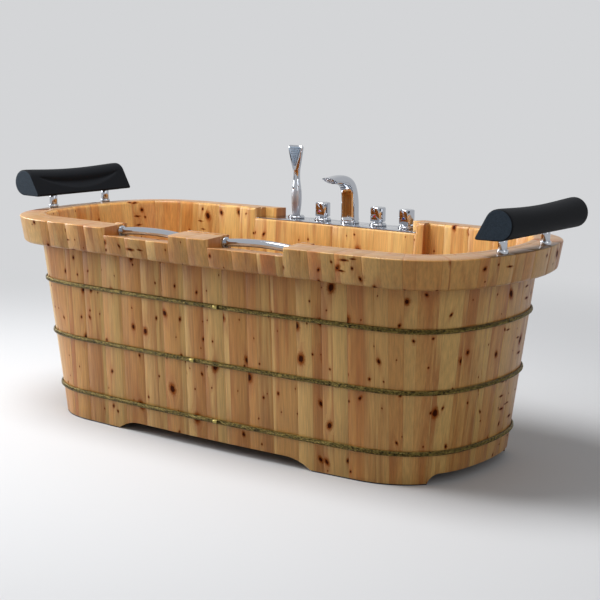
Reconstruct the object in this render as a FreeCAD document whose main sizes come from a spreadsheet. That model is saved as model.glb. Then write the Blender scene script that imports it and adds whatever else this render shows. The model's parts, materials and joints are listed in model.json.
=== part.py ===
import FreeCAD, Part
import Sketcher
import math
import os

# Wooden bathtub of upright staves with a glued rim, three wire hoops, two grab bars,
# two head pillows and a deck tap set with a hand shower. Millimetres, +Z up.
# The origin is on the floor at the middle of the tub, +X runs along its length,
# -Y is the side with the grab bars and +Y the side with the taps.

Vector = FreeCAD.Vector
Rotation = FreeCAD.Rotation
Placement = FreeCAD.Placement

doc = FreeCAD.newDocument("wooden_bathtub")
sheet = doc.addObject("Spreadsheet::Sheet", "sizes")

SIZES = [
    ("tub_length", 1600, "outside length of the rim"),
    ("tub_width", 750, "outside width of the rim"),
    ("rim_outer_z", 576, "height of the rim's outer top edge"),
    ("rim_inner_z", 580, "height of the rim's inner top edge"),
    ("rim_band", 75, "height of the rim's outer face"),
    ("rim_taper", 13, "how far the rim's outer face leans in over its height"),
    ("rim_width", 80, "outer to inner edge across the rim's top"),
    ("rim_inner_round", 9, "rounding of the rim's inner top edge"),
    ("rim_outer_round", 3, "rounding of the rim's outer top edge"),
    ("rim_under_round", 8, "rounding of the rim's lower edge"),
    ("side_arc", 8000, "radius of the long sides in plan, at the rim"),
    ("end_arc", 660, "radius of the ends in plan, at the rim"),
    ("corner_arc", 216, "radius of the corners in plan, at the rim"),
    ("shoulder_half_length", 735, "half length of the staves' outside under the rim"),
    ("shoulder_half_width", 314, "half width of the staves' outside under the rim"),
    ("shoulder_corner", 151, "corner radius of the staves' outside under the rim"),
    ("foot_half_length", 676, "half length of the staves' outside at the floor"),
    ("foot_half_width", 288, "half width of the staves' outside at the floor"),
    ("foot_corner", 203, "corner radius of the staves' outside at the floor"),
    ("stave_thick", 24, "thickness of a stave"),
    ("stave_pitch", 74, "target width of a stave"),
    ("glue_line", 0.1, "gap between the staves and the boards glued to them"),
    ("pad_thick", 3, "thickness of the rubber strips under the feet"),
    ("arch_rise", 27, "height of the cut-outs between the feet"),
    ("side_arch_half", 338, "half length of the cut-out in each long side"),
    ("side_arch_run", 83, "length over which the long cut-out's ends curve up"),
    ("end_arch_half", 195, "half width of the cut-out in each end"),
    ("end_arch_run", 30, "length over which the short cut-out's ends curve up"),
    ("top_hoop_z", 393.5, "height of the top hoop"),
    ("middle_hoop_z", 239.5, "height of the middle hoop"),
    ("bottom_hoop_z", 83, "height of the bottom hoop"),
    ("hoop_wire", 9.5, "diameter of a hoop's wire rope"),
    ("hoop_gap", 0.5, "distance from a hoop to the staves, at the middle of each side"),
    ("ferrule_across", 13, "diameter of the sleeve that joins a hoop's ends"),
    ("ferrule_length", 13, "length of that sleeve"),
    ("floor_top", 90, "height of the floor boards' top"),
    ("floor_thick", 24, "thickness of the floor boards"),
    ("floor_board", 76, "target width of a floor board"),
    ("floor_gap", 0.5, "clearance between the floor and the staves"),
    ("batten_wide", 44, "width of a batten under the floor"),
    ("batten_deep", 30, "depth of a batten under the floor"),
    ("batten_near", 180, "inner battens, from the tub's middle"),
    ("batten_far", 520, "outer battens, from the tub's middle"),
    ("finger_notch_mid", 184, "middle of each finger notch from the tub's middle"),
    ("finger_notch_half", 117, "half length of a finger notch"),
    ("finger_floor_outer", 556, "height of a finger notch's floor at its outer edge"),
    ("finger_floor_inner", 548, "height of a finger notch's floor at its inner edge"),
    ("rail_half", 335, "half length of the board that backs the grab bars"),
    ("rail_thick", 18, "thickness of that board"),
    ("rail_bottom", 470, "height of that board's lower edge"),
    ("bar_across", 20.5, "diameter of a grab bar"),
    ("bar_y", -298, "grab bar axis, from the tub's middle"),
    ("bar_z", 561, "grab bar axis at its ends"),
    ("bar_rise", 7, "how far a grab bar arches up"),
    ("bar_flange_across", 31, "diameter of a grab bar's flange"),
    ("bar_flange_thick", 4, "thickness of a grab bar's flange"),
    ("bar_screw_across", 6, "diameter of the screw behind a grab bar's flange"),
    ("bar_screw_long", 28, "length of that screw"),
    ("seat_gap", 0.1, "clearance round a flange and behind a screw in the wood"),
    ("bore_gap", 0.03, "clearance round a screw or a stud in the wood"),
    ("tap_notch_half", 286, "half length of the notch for the taps, in the staves and the apron"),
    ("tap_gap_half", 245, "half length of that notch in the rim boards"),
    ("tap_notch_floor", 551, "height of that notch's floor"),
    ("apron_half", 316, "half length of the apron board behind the tap notch"),
    ("apron_thick", 28, "thickness of the apron board"),
    ("notch_round", 12, "rounding of the upright edges beside a notch"),
    ("notch_floor_round", 6, "rounding of a notch's inner edge"),
    ("notch_outer_round", 2, "rounding of a notch's outer edge"),
    ("plate_thick", 2, "thickness of the tap deck plate"),
    ("tap_y", 338, "line of the taps, from the tub's middle"),
    ("tap_middle", 10, "spout, from the tub's middle towards the cold tap"),
    ("tap_pitch", 99, "distance from tap to tap"),
    ("escutcheon_across", 50, "diameter of the rings under the taps"),
    ("escutcheon_thick", 7.5, "height of the rings under the taps"),
    ("knob_across", 44.5, "diameter of a tap knob"),
    ("knob_high", 41, "height of a tap knob"),
    ("knob_neck", 4.5, "height of the neck under a knob"),
    ("knob_neck_across", 28, "diameter of that neck"),
    ("knob_flat", 15.5, "distance from a knob's axis to the lower end of its slanted face"),
    ("knob_slant", 8.5, "angle of that face, in degrees from upright"),
    ("knob_edge", 2, "chamfer of a knob's top edge"),
    ("mark_across", 7, "diameter of a knob's coloured mark"),
    ("mark_deep", 1, "depth of the seat of that mark"),
    ("shank_across", 26, "diameter of the threaded shanks through the deck"),
    ("deck_hole", 28, "diameter of the holes through the deck"),
    ("spindle_across", 10, "diameter of a valve spindle"),
    ("spindle_gap", 0.05, "clearance all round a spindle"),
    ("valve_across", 36, "diameter of a valve body"),
    ("valve_high", 52, "height of a valve body"),
    ("nut_across", 38, "distance across the flats of a deck nut"),
    ("nut_high", 8, "height of a deck nut"),
    ("pipe_across", 15, "outside diameter of the copper pipes"),
    ("pipe_bore", 13, "bore of the copper pipes"),
    ("tail_across", 20.955, "outside diameter of the half inch parallel pipe thread"),
    ("tail_length", 16, "length of that thread"),
    ("spout_base_across", 55, "diameter of the ring under the spout"),
    ("waterway", 14, "diameter of the waterway inside the spout"),
    ("aerator_across", 24, "diameter of the aerator"),
    ("grip_across", 31, "largest diameter of the hand shower's grip"),
    ("grip_top", 640, "height of the grip's upper end"),
    ("grip_tail_across", 18, "diameter of the tail that stands in the holder"),
    ("grip_tail_gap", 0.3, "clearance all round that tail"),
    ("pillow_half", 195, "half length of a pillow"),
    ("pillow_round", 38, "radius of a pillow's back"),
    ("pillow_x", 802, "axis of a pillow's round back, from the tub's middle"),
    ("pillow_z", 655, "height of that axis"),
    ("pillow_tip_x", 744, "centre of the pillow tip's rounding, from the tub's middle"),
    ("pillow_tip_z", 620.5, "height of that centre"),
    ("pillow_tip_round", 4, "radius of the pillow's tip"),
    ("pillow_crown", 5, "how far a pillow's outline draws in at the middle of its length"),
    ("pillow_hollow", 10, "depth of the neck hollow in a pillow's slanted face"),
    ("pillow_edge", 5, "rounding of a pillow's end caps"),
    ("board_long", 300, "length of the mounting board in a pillow's underside"),
    ("board_wide", 40, "width of that board"),
    ("board_thick", 12, "thickness of that board"),
    ("post_x", 768, "pillow posts, from the tub's middle"),
    ("post_y", 109, "pillow posts, from the tub's long axis"),
    ("post_across", 23, "diameter of a pillow post"),
    ("post_top", 615.5, "height of a pillow post's top"),
    ("post_collar_across", 29, "diameter of a post's base collar"),
    ("post_collar_top", 586.5, "height of a post's base collar"),
    ("stud_across", 8, "diameter of the stud through a post"),
    ("drain_across", 70, "diameter of the waste flange"),
    ("drain_flange_thick", 3, "thickness of the waste flange"),
    ("drain_bore", 40, "bore of the waste"),
    ("drain_wall", 2.5, "wall of the waste body"),
    ("drain_tail_across", 40, "outside diameter of the waste tail"),
    ("drain_tail_z", 26, "height of the waste tail's lower end"),
    ("plug_stem", 8, "diameter of the plug's stem"),
    ("overflow_z", 420, "height of the overflow"),
    ("overflow_across", 62, "diameter of the overflow plate"),
    ("overflow_pipe", 25, "outside diameter of the overflow pipe"),
    ("overflow_drop", 62, "from the overflow's axis to the lower end of its elbow"),
    ("overflow_tail", 40, "length of the spigot at that end"),
]
for row, (alias, value, note) in enumerate(SIZES, start=1):
    sheet.set(f"A{row}", note)
    sheet.set(f"B{row}", str(value))
    sheet.setAlias(f"B{row}", alias)
doc.recompute()


def size(alias):
    return float(sheet.get(alias))


NODES = []


def node(obj, label):
    """Give an object its node name and put it on the list that is written out."""
    obj.Label = label
    NODES.append(obj)
    return obj


def placed(obj, at=(0, 0, 0), turn=None):
    """Place an object: each of the three coordinates is a number or an expression."""
    if turn is not None:
        obj.Placement = Placement(Vector(0, 0, 0), turn)
    for axis, value in zip("xyz", at):
        obj.setExpression(f"Placement.Base.{axis}", f"{value}")
    return obj


def shaped(name, shape):
    """A document object that holds a shape made with Part's own functions."""
    obj = doc.addObject("Part::Feature", name)
    obj.Shape = shape
    return obj


def rod(name, radius, height, at=(0, 0, 0), turn=None):
    """Part::Cylinder with its radius, height and place bound to the sheet."""
    obj = doc.addObject("Part::Cylinder", name)
    obj.setExpression("Radius", radius)
    obj.setExpression("Height", height)
    return placed(obj, at, turn)


def brick(name, long, wide, high, at=(0, 0, 0)):
    """Part::Box with its three sizes and its lower corner bound to the sheet."""
    obj = doc.addObject("Part::Box", name)
    for prop, value in (("Length", long), ("Width", wide), ("Height", high)):
        obj.setExpression(prop, value)
    return placed(obj, at)


def less(name, base, tool):
    obj = doc.addObject("Part::Cut", name)
    obj.Base, obj.Tool = base, tool
    return obj


def joined(name, pieces):
    obj = doc.addObject("Part::MultiFuse", name)
    obj.Shapes = list(pieces)
    return obj


def group(name, pieces):
    obj = doc.addObject("Part::Compound", name)
    obj.Links = list(pieces)
    return obj


def turned(name, outline, at=(0, 0, 0), turn=None):
    """Body turned about its own Z axis from a closed outline of (radius, height) expressions."""
    body = doc.addObject("PartDesign::Body", name)
    sketch = body.newObject("Sketcher::SketchObject", f"{name}_outline")
    plane = next(f for f in body.Origin.OriginFeatures if f.Role == "XZ_Plane")
    sketch.AttachmentSupport = [(plane, "")]
    sketch.MapMode = "FlatFace"
    points = []
    for radius, height in outline:
        points.append((float(sheet_value(radius)), float(sheet_value(height))))
    count = len(points)
    for i in range(count):
        start, end = points[i], points[(i + 1) % count]
        sketch.addGeometry(Part.LineSegment(Vector(*start, 0), Vector(*end, 0)), False)
    for i in range(count):
        sketch.addConstraint(Sketcher.Constraint("Coincident", i, 2, (i + 1) % count, 1))
    for i, (radius, height) in enumerate(outline):
        across, up = points[i]
        for kind, value, now, axis in (("DistanceX", radius, across, -2), ("DistanceY", height, up, -1)):
            if abs(now) < 1e-9:
                sketch.addConstraint(Sketcher.Constraint("PointOnObject", i, 1, axis))
            else:
                index = sketch.addConstraint(Sketcher.Constraint(kind, -1, 1, i, 1, now))
                if not isinstance(value, (int, float)):
                    sketch.setExpression(f"Constraints[{index}]", value)
    doc.recompute()
    revolution = body.newObject("PartDesign::Revolution", f"{name}_turned")
    revolution.Profile = sketch
    revolution.ReferenceAxis = (sketch, ["V_Axis"])
    revolution.Angle = 360
    return placed(body, at, turn)


def sheet_value(expression):
    """The present value of a sheet expression, for a sketch's first guess."""
    if isinstance(expression, (int, float)):
        return expression
    return FreeCAD.Units.Quantity(str(sheet.evalExpression(expression))).Value


# Plan of the tub: an oval of eight arcs

def rim_shape(inset):
    """The rim's plan, drawn in by an inset: half length, half width and the three radii."""
    return (size("tub_length") / 2 - inset, size("tub_width") / 2 - inset, size("side_arc") - inset,
            size("end_arc") - inset, size("corner_arc") - inset)


def drawn_in(shape, inset):
    return tuple(value - inset for value in shape)


UNDER_RIM = size("rim_outer_z") - size("rim_band")
SHOULDER_INSET = size("tub_length") / 2 - size("shoulder_half_length")


def stave_outside(z):
    """Plan of the staves' outside at a height: it grows evenly from the foot to the shoulder."""
    up = z / UNDER_RIM
    side = size("side_arc") - SHOULDER_INSET
    end = size("end_arc") - SHOULDER_INSET
    foot = (size("foot_half_length"), size("foot_half_width"), side, end, size("foot_corner"))
    shoulder = (size("shoulder_half_length"), size("shoulder_half_width"), side, end, size("shoulder_corner"))
    return tuple(low + (high - low) * up for low, high in zip(foot, shoulder))


def stave_inside(z, deeper=0):
    return drawn_in(stave_outside(z), size("stave_thick") + deeper)


def corner(shape):
    """Centre of the first quadrant's corner arc, and the two angles where it meets its neighbours."""
    long, wide, side, end, round_ = shape
    from_side, from_end = side - round_, end - round_
    side_centre, end_centre = Vector(0, wide - side, 0), Vector(long - end, 0, 0)
    apart = end_centre - side_centre
    gap = apart.Length
    along = (from_side ** 2 - from_end ** 2 + gap ** 2) / (2 * gap)
    across = math.sqrt(from_side ** 2 - along ** 2)
    unit = apart / gap
    centre = side_centre + unit * along + Vector(unit.y, -unit.x, 0) * across
    at_side = math.atan2(centre.y - side_centre.y, centre.x - side_centre.x)
    at_end = math.atan2(centre.y - end_centre.y, centre.x - end_centre.x)
    return side_centre, end_centre, centre, at_side, at_end


def quadrant_arcs(shape):
    """The end, corner and side arcs of the first quadrant: centre, radius, first and last angle."""
    side, end, round_ = shape[2:]
    side_centre, end_centre, centre, at_side, at_end = corner(shape)
    return [(end_centre, end, 0, at_end), (centre, round_, at_end, at_side),
            (side_centre, side, at_side, math.pi / 2)]


def on_arc(centre, radius, angle):
    return centre + Vector(math.cos(angle), math.sin(angle), 0) * radius


def ray_at_x(shape, x, side):
    """Station on a long side at a given x: a point and the outward direction. side is -1 or 1."""
    long, wide, radius, end, round_ = shape
    direction = Vector(x / radius, side * math.sqrt(1 - (x / radius) ** 2), 0)
    return Vector(0, side * (wide - radius), 0) + direction * radius, direction


def ray_at_angle(arc, angle, signs):
    """Station on an arc of the first quadrant, mirrored into the quadrant that signs names."""
    point = on_arc(arc[0], arc[1], angle)
    direction = Vector(math.cos(angle), math.sin(angle), 0)
    return (Vector(point.x * signs[0], point.y * signs[1], 0),
            Vector(direction.x * signs[0], direction.y * signs[1], 0))


def meet(shape, ray, z):
    """Where a station's upright plane meets an oval, at a height."""
    point, direction = ray
    signs = (1 if point.x >= 0 else -1, 1 if point.y >= 0 else -1)
    start = Vector(point.x * signs[0], point.y * signs[1], 0)
    way = Vector(direction.x * signs[0], direction.y * signs[1], 0)
    slack = 1e-6
    found = []
    for centre, radius, first, last in quadrant_arcs(shape):
        offset = start - centre
        half = offset.dot(way)
        root = half ** 2 - offset.dot(offset) + radius ** 2
        if root < 0:
            continue
        travel = -half + math.sqrt(root)
        hit = start + way * travel
        angle = math.atan2(hit.y - centre.y, hit.x - centre.x)
        outside = max(first - angle, angle - last, 0)
        found.append((outside > slack, outside, abs(travel), hit))
    hit = min(found, key=lambda item: item[:3])[3]
    return Vector(hit.x * signs[0], hit.y * signs[1], z)


def block(profile, first, middle, last):
    """A board between two stations: its section is a list of (plan shape, height) corners."""
    ring = [[meet(shape, ray, z) for ray in (first, middle, last)] for shape, z in profile]
    edges = [Part.Arc(*points).toShape() for points in ring]
    faces = [Part.makeRuledSurface(edges[i - 1], edges[i]) for i in range(len(edges))]
    for end in (0, 2):
        corners = [points[end] for points in ring]
        faces.append(Part.Face(Part.makePolygon(corners + corners[:1])))
    shell = Part.makeShell(faces)
    shell.sewShape()
    solid = Part.makeSolid(shell)
    if solid.Volume < 0:
        solid.reverse()
    return solid


def oval_wire(shape, z):
    """The whole oval as a wire of eight tangent arcs."""
    arcs = quadrant_arcs(shape)
    edges = []
    for signs, order in (((1, 1), 1), ((-1, 1), -1), ((-1, -1), 1), ((1, -1), -1)):
        for arc in arcs[::order]:
            angles = [arc[2], (arc[2] + arc[3]) / 2, arc[3]][::order]
            points = [ray_at_angle(arc, angle, signs)[0] + Vector(0, 0, z) for angle in angles]
            edges.append(Part.Arc(*points).toShape())
    return Part.Wire(edges)


# Stations: where one board ends and the next begins

BASE = stave_outside(UNDER_RIM / 2)
ARCS = quadrant_arcs(BASE)
SIDE_END_X = on_arc(ARCS[2][0], ARCS[2][1], ARCS[2][2]).x
CORNER_BOARDS = 3
END_BOARDS = 4


def spans(stops, pitch):
    """Split each stretch between stops into equal boards near the pitch."""
    cuts = [stops[0]]
    for low, high in zip(stops, stops[1:]):
        count = max(1, round((high - low) / pitch))
        cuts += [low + (high - low) * i / count for i in range(1, count + 1)]
    return cuts


def side_stations(stops, side, pitch=None):
    """Pairs of (first, middle, last) stations along a long side, with each board's x range."""
    cuts = spans(stops, pitch or size("stave_pitch"))
    boards = []
    for low, high in zip(cuts, cuts[1:]):
        rays = [ray_at_x(BASE, x, side) for x in (low, (low + high) / 2, high)]
        boards.append((low, high, rays))
    return boards


def end_stations(sign):
    """Stations round one end of the tub, from one long side to the other."""
    end_arc, corner_arc = ARCS[0], ARCS[1]
    rays = []
    for quadrant in (-1, 1):
        half = []
        for arc, count in ((corner_arc, CORNER_BOARDS), (end_arc, END_BOARDS // 2)):
            step = (arc[3] - arc[2]) / (2 * count)
            angles = [arc[3] - step * i for i in range(2 * count + 1)]
            half += [ray_at_angle(arc, angle, (sign, quadrant)) for angle in angles[bool(half):]]
        rays += half if quadrant == -1 else half[::-1][1:]
    return [rays[i:i + 3] for i in range(0, len(rays) - 2, 2)]


FINGER_STOPS = [size("finger_notch_mid") - size("finger_notch_half"),
                size("finger_notch_mid") + size("finger_notch_half")]
FRONT_STOPS = [-SIDE_END_X, -FINGER_STOPS[1], -FINGER_STOPS[0], *FINGER_STOPS, SIDE_END_X]
REAR_STOPS = [-SIDE_END_X, -size("tap_notch_half"), size("tap_notch_half"), SIDE_END_X]
REAR_RIM_STOPS = [-SIDE_END_X, -size("tap_gap_half"), size("tap_gap_half"), SIDE_END_X]


def girth_rays(step):
    """Rays all round the tub, at most a step apart."""
    rays = []
    for signs, order in (((1, 1), 1), ((-1, 1), -1), ((-1, -1), 1), ((1, -1), -1)):
        for arc in ARCS[::order]:
            radius, first, last = arc[1], arc[2], arc[3]
            count = math.ceil(radius * (last - first) / step)
            angles = [first + (last - first) * i / count for i in range(count + 1)][::order]
            rays += [ray_at_angle(arc, angle, signs) for angle in angles[:-1]]
    return rays


GIRTH = girth_rays(14)


def inner_curve(z, gap):
    """Smooth closed curve at a height, a gap inside the staves' straight inner faces."""
    low, high = size("pad_thick"), size("rim_outer_z")
    points = []
    for ray in GIRTH:
        foot, head = meet(stave_inside(low), ray, low), meet(stave_inside(high), ray, high)
        points.append(foot + (head - foot) * ((z - low) / (high - low)) - ray[1] * gap)
    curve = Part.BSplineCurve()
    curve.interpolate(points, PeriodicFlag=True)
    return curve.toShape()


def in_finger_notch(low, high):
    return FINGER_STOPS[0] < abs(low + high) / 2 < FINGER_STOPS[1]


def in_tap_notch(low, high):
    return abs(low + high) / 2 < size("tap_notch_half")


def in_tap_gap(low, high):
    return abs(low + high) / 2 < size("tap_gap_half")


# Sections of the boards

def taper(z):
    """Inset of the rim's outer face at a height."""
    return size("rim_taper") * (size("rim_outer_z") - z) / size("rim_band")


def top_height(inset):
    """Height of the rim's sloping top at an inset from its outer edge."""
    rise = size("rim_inner_z") - size("rim_outer_z")
    return size("rim_outer_z") + rise * inset / size("rim_width")


def finger_floor(inset):
    """Height of a finger notch's sloping floor at an inset from the rim's outer edge."""
    fall = size("finger_floor_inner") - size("finger_floor_outer")
    return size("finger_floor_outer") + fall * inset / size("rim_width")


def tap_floor(inset):
    return size("tap_notch_floor")


SHOULDER = size("tub_width") / 2 - size("shoulder_half_width")


def rim_profile(height, round_):
    """Section of a rim board: height(inset) is its top face."""
    lower = size("rim_under_round")
    profile = []
    for degrees in (90, 60, 30, 0):
        angle = math.radians(degrees)
        z = UNDER_RIM + lower - lower * math.sin(angle)
        profile.append((rim_shape(taper(z) + lower - lower * math.cos(angle)), z))
    top = height(0)
    edge = taper(top - round_)
    profile.append((rim_shape(edge), top - round_))
    profile.append((rim_shape(edge + 0.3 * round_), top - 0.3 * round_))
    profile.append((rim_shape(edge + round_), height(edge + round_)))
    joint = height(SHOULDER)
    for z in (joint, UNDER_RIM):
        profile.append((drawn_in(stave_outside(z), -size("glue_line")), z))
    return profile


def stave_profile(height, bottom, round_, deeper=0):
    """Section of a stave: flat foot, leaning faces and a rounded inner top edge."""
    joint = height(SHOULDER)
    inner = height(size("rim_width") + deeper)
    profile = [(stave_outside(bottom), bottom), (stave_outside(joint), joint)]
    for degrees in (0, 30, 60, 90):
        angle = math.radians(degrees)
        z = inner - round_ + round_ * math.cos(angle)
        profile.append((stave_inside(z, deeper - round_ + round_ * math.sin(angle)), z))
    profile.append((stave_inside(bottom, deeper), bottom))
    return profile


def lining_profile(height, bottom, thick, round_):
    """Section of a board glued to the inside of the staves."""
    inner = height(size("rim_width") + thick)
    seat = inner - 0.01
    profile = [(stave_inside(z, size("glue_line")), z) for z in (bottom, seat)]
    for degrees in (0, 30, 60, 90):
        angle = math.radians(degrees)
        z = inner - round_ + round_ * math.cos(angle)
        profile.append((stave_inside(z, thick - round_ + round_ * math.sin(angle)), z))
    profile.append((stave_inside(bottom, thick), bottom))
    return profile


def rounded(solid, ray, shape, along, outward, radius, low, high):
    """Round an upright edge: along points into the board, outward is 1 for an outer edge."""
    corner_point = meet(shape, ray, low)
    direction = ray[1] * outward
    tangent = Vector(-ray[1].y, ray[1].x, 0) * along
    spare = radius
    centre = corner_point + tangent * radius - direction * radius
    square = [corner_point + direction * spare - tangent * spare,
              centre + direction * (radius + spare),
              centre + direction * radius, centre - tangent * radius,
              centre - tangent * (radius + spare)]
    middle = centre + (direction - tangent) * (radius * math.sqrt(0.5))
    edges = [Part.makeLine(square[0], square[1]),
             Part.makeLine(square[1], square[2]),
             Part.Arc(square[2], middle, square[3]).toShape(),
             Part.makeLine(square[3], square[4]),
             Part.makeLine(square[4], square[0])]
    tool = Part.Face(Part.Wire(edges)).extrude(Vector(0, 0, high - low))
    return solid.cut(tool)


# Cut-outs under the walls

def arch_face(half, shoulder, knee):
    """Outline of a cut-out, upright in the XZ plane: the ends curve up to a flat top."""
    rise = size("arch_rise")
    left = [Vector(-half, 0, 0), Vector(-half + knee, 0, rise * 0.74), Vector(-half + shoulder, 0, rise)]
    right = [Vector(-p.x, 0, p.z) for p in left[::-1]]
    low = [Vector(half, 0, -1), Vector(-half, 0, -1)]
    edges = [Part.Arc(*left).toShape(),
             Part.makeLine(left[2], right[0]),
             Part.Arc(*right).toShape(),
             Part.makeLine(right[2], low[0]),
             Part.makeLine(low[0], low[1]),
             Part.makeLine(low[1], left[0])]
    return Part.Face(Part.Wire(edges))


def arch_tools():
    reach = size("tub_length")
    side = arch_face(size("side_arch_half"), size("side_arch_run"), 0.48 * size("side_arch_run"))
    side.translate(Vector(0, -reach / 2, 0))
    end = arch_face(size("end_arch_half"), size("end_arch_run"), 0.27 * size("end_arch_run"))
    end.rotate(Vector(0, 0, 0), Vector(0, 0, 1), 90)
    end.translate(Vector(-reach / 2, 0, 0))
    return side.extrude(Vector(0, reach, 0)), end.extrude(Vector(reach, 0, 0))


SIDE_ARCH, END_ARCH = arch_tools()


def arched(solid, tool):
    if solid.common(tool).Volume > 1:
        return solid.cut(tool)
    return solid


# Walls of upright staves

def wall(name, boards, notch, floor, round_):
    """Staves of a long side, lower where the notch is."""
    staves = []
    for low, high, rays in boards:
        height = floor if notch(low, high) else top_height
        solid = block(stave_profile(height, size("pad_thick"), round_(low, high)), *rays)
        staves.append(arched(solid, SIDE_ARCH))
    return shaped(name, Part.makeCompound(staves))


def notch_corners(solid, low, high, rays, stops, shape, outward, bottom):
    """Round the upright edges of a board that stands beside a notch."""
    for stop in stops:
        for edge, ray, along in ((low, rays[0], 1), (high, rays[2], -1)):
            if abs(edge - stop) < 0.01:
                side = 1 if ray[1].y < 0 else -1
                solid = rounded(solid, ray, shape, along * side, outward, size("notch_round"), bottom,
                                size("rim_inner_z") + 20)
    return solid


def floor_round(notch):
    return lambda low, high: size("notch_floor_round") if notch(low, high) else size("rim_inner_round")


FRONT = side_stations(FRONT_STOPS, -1)
REAR = side_stations(REAR_STOPS, 1)
REAR_RIM = side_stations(REAR_RIM_STOPS, 1)
ENDS = {"left": end_stations(-1), "right": end_stations(1)}

front_staves = wall("FrontStaves", FRONT, in_finger_notch, finger_floor, floor_round(in_finger_notch))
rear_staves = wall("RearStaves", REAR, in_tap_notch, tap_floor, floor_round(in_tap_notch))
node(front_staves, "front_wall_staves")
node(rear_staves, "rear_wall_staves")
for end, stations in ENDS.items():
    profile = stave_profile(top_height, size("pad_thick"), size("rim_inner_round"))
    staves = [arched(block(profile, *rays), END_ARCH) for rays in stations]
    node(shaped(f"{end}_staves", Part.makeCompound(staves)), f"{end}_end_staves")


# Rim of short boards glued round the staves' tops

def rim_side(name, boards, notch, floor, stops):
    pieces = []
    for low, high, rays in boards:
        inside = notch(low, high)
        profile = (rim_profile(floor, size("notch_outer_round")) if inside
                   else rim_profile(top_height, size("rim_outer_round")))
        solid = block(profile, *rays)
        if not inside:
            solid = notch_corners(solid, low, high, rays, stops, rim_shape(0), 1, floor(0))
        pieces.append(solid)
    return shaped(name, Part.makeCompound(pieces))


node(rim_side("FrontRim", FRONT, in_finger_notch, finger_floor, FRONT_STOPS[1:-1]), "front_rim_boards")
node(rim_side("RearRim", REAR_RIM, in_tap_gap, tap_floor, REAR_RIM_STOPS[1:-1]), "rear_rim_boards")
for end, stations in ENDS.items():
    profile = rim_profile(top_height, size("rim_outer_round"))
    boards = Part.makeCompound([block(profile, *rays) for rays in stations])
    node(shaped(f"{end}_rim", boards), f"{end}_rim_boards")


# Boards glued to the inside of the long walls

def lining(name, side, ends, stops, notch, floor, bottom, thick):
    """Boards inside a long wall: they back the grab bars or carry the tap deck."""
    cuts = sorted(set([-ends, ends] + stops))
    pieces = []
    for low, high in zip(cuts, cuts[1:]):
        rays = [ray_at_x(BASE, x, side) for x in (low, (low + high) / 2, high)]
        inside = notch(low, high)
        round_ = size("notch_floor_round") if inside else size("rim_inner_round")
        solid = block(lining_profile(floor if inside else top_height, bottom, thick, round_), *rays)
        for edge in [] if inside else stops + [-ends, ends]:
            low_z = bottom - 1 if abs(edge) == ends else floor(size("rim_width"))
            solid = notch_corners(solid, low, high, rays, [edge], stave_inside(low_z, thick), -1, low_z)
        pieces.append(solid)
    return shaped(name, Part.makeCompound(pieces))


node(lining("FrontRail", -1, size("rail_half"), FRONT_STOPS[1:-1], in_finger_notch, finger_floor,
            size("rail_bottom"), size("rail_thick")), "front_grab_rail")
node(lining("RearApron", 1, size("apron_half"), REAR_STOPS[1:-1] + [0.0], in_tap_notch, tap_floor,
            size("floor_top"), size("apron_thick")), "rear_deck_apron")


# Rubber strips under the four feet

def strip(rays):
    """Flat rubber strip under one stave."""
    thick = size("pad_thick")
    outer = [meet(stave_outside(0), ray, 0) for ray in rays]
    inner = [meet(stave_inside(thick), ray, 0) for ray in rays]
    edges = [Part.Arc(*outer).toShape(),
             Part.makeLine(outer[2], inner[2]),
             Part.Arc(*inner[::-1]).toShape(),
             Part.makeLine(inner[0], outer[0])]
    return Part.Face(Part.Wire(edges)).extrude(Vector(0, 0, thick))


def foot_strips():
    strips = []
    for side in (-1, 1):
        for low, high, rays in side_stations([size("side_arch_half"), SIDE_END_X], side):
            strips.append(strip(rays))
            strips.append(strip([(Vector(-p.x, p.y, 0), Vector(-d.x, d.y, 0)) for p, d in rays]))
    for stations in ENDS.values():
        for rays in stations:
            strips += strip(rays).cut(END_ARCH).Solids
    return strips


node(shaped("FootStrips", Part.makeCompound(foot_strips())), "rubber_foot_strips")


# Wire rope hoops

def hoop(name, height):
    """A wire rope drawn tight round the staves, as a sweep of a circle along the oval."""
    shape = drawn_in(stave_outside(size(height)), -(size("hoop_wire") / 2 + size("hoop_gap")))
    spine = shaped(f"{name}Path", oval_wire(shape, size(height)))
    circle = doc.addObject("Part::Circle", f"{name}Section")
    circle.setExpression("Radius", "sizes.hoop_wire / 2")
    circle.Placement = Placement(Vector(shape[0], 0, size(height)), Rotation(Vector(1, 0, 0), -90))
    sweep = doc.addObject("Part::Sweep", name)
    sweep.Sections = [circle]
    sweep.Spine = (spine, [f"Edge{i + 1}" for i in range(len(spine.Shape.Edges))])
    sweep.Solid = True
    sweep.Transition = "Transformed"
    return sweep


HOOPS = [("TopHoop", "top_hoop_z", "top_hoop"), ("MiddleHoop", "middle_hoop_z", "middle_hoop"),
         ("BottomHoop", "bottom_hoop_z", "bottom_hoop")]
for name, height, label in HOOPS:
    node(hoop(name, height), label)


def ferrules():
    """Pressed sleeves where the ends of each hoop meet, flat against the staves."""
    sleeves = []
    for (name, height, label), x in zip(HOOPS, (49, -38, 35)):
        z = size(height)
        radius = size("hoop_wire") / 2
        shape = drawn_in(stave_outside(z), -(radius + size("hoop_gap")))
        point, direction = ray_at_x(shape, x, -1)
        along = Vector(-direction.y, direction.x, 0)
        start = point + Vector(0, 0, z) - along * (size("ferrule_length") / 2)
        sleeve = Part.makeCylinder(size("ferrule_across") / 2, size("ferrule_length"), start, along)
        bore = Part.makeCylinder(radius + 0.2, size("ferrule_length"), start, along)
        reach = size("ferrule_length")
        rays = [ray_at_x(BASE, x + step * reach, -1) for step in (-1, 0, 1)]
        back = [(stave_outside(z - reach), z - reach), (stave_outside(z + reach), z + reach),
                (stave_inside(z + reach), z + reach), (stave_inside(z - reach), z - reach)]
        sleeves.append(sleeve.cut(bore).cut(block(back, *rays)))
    return sleeves


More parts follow.
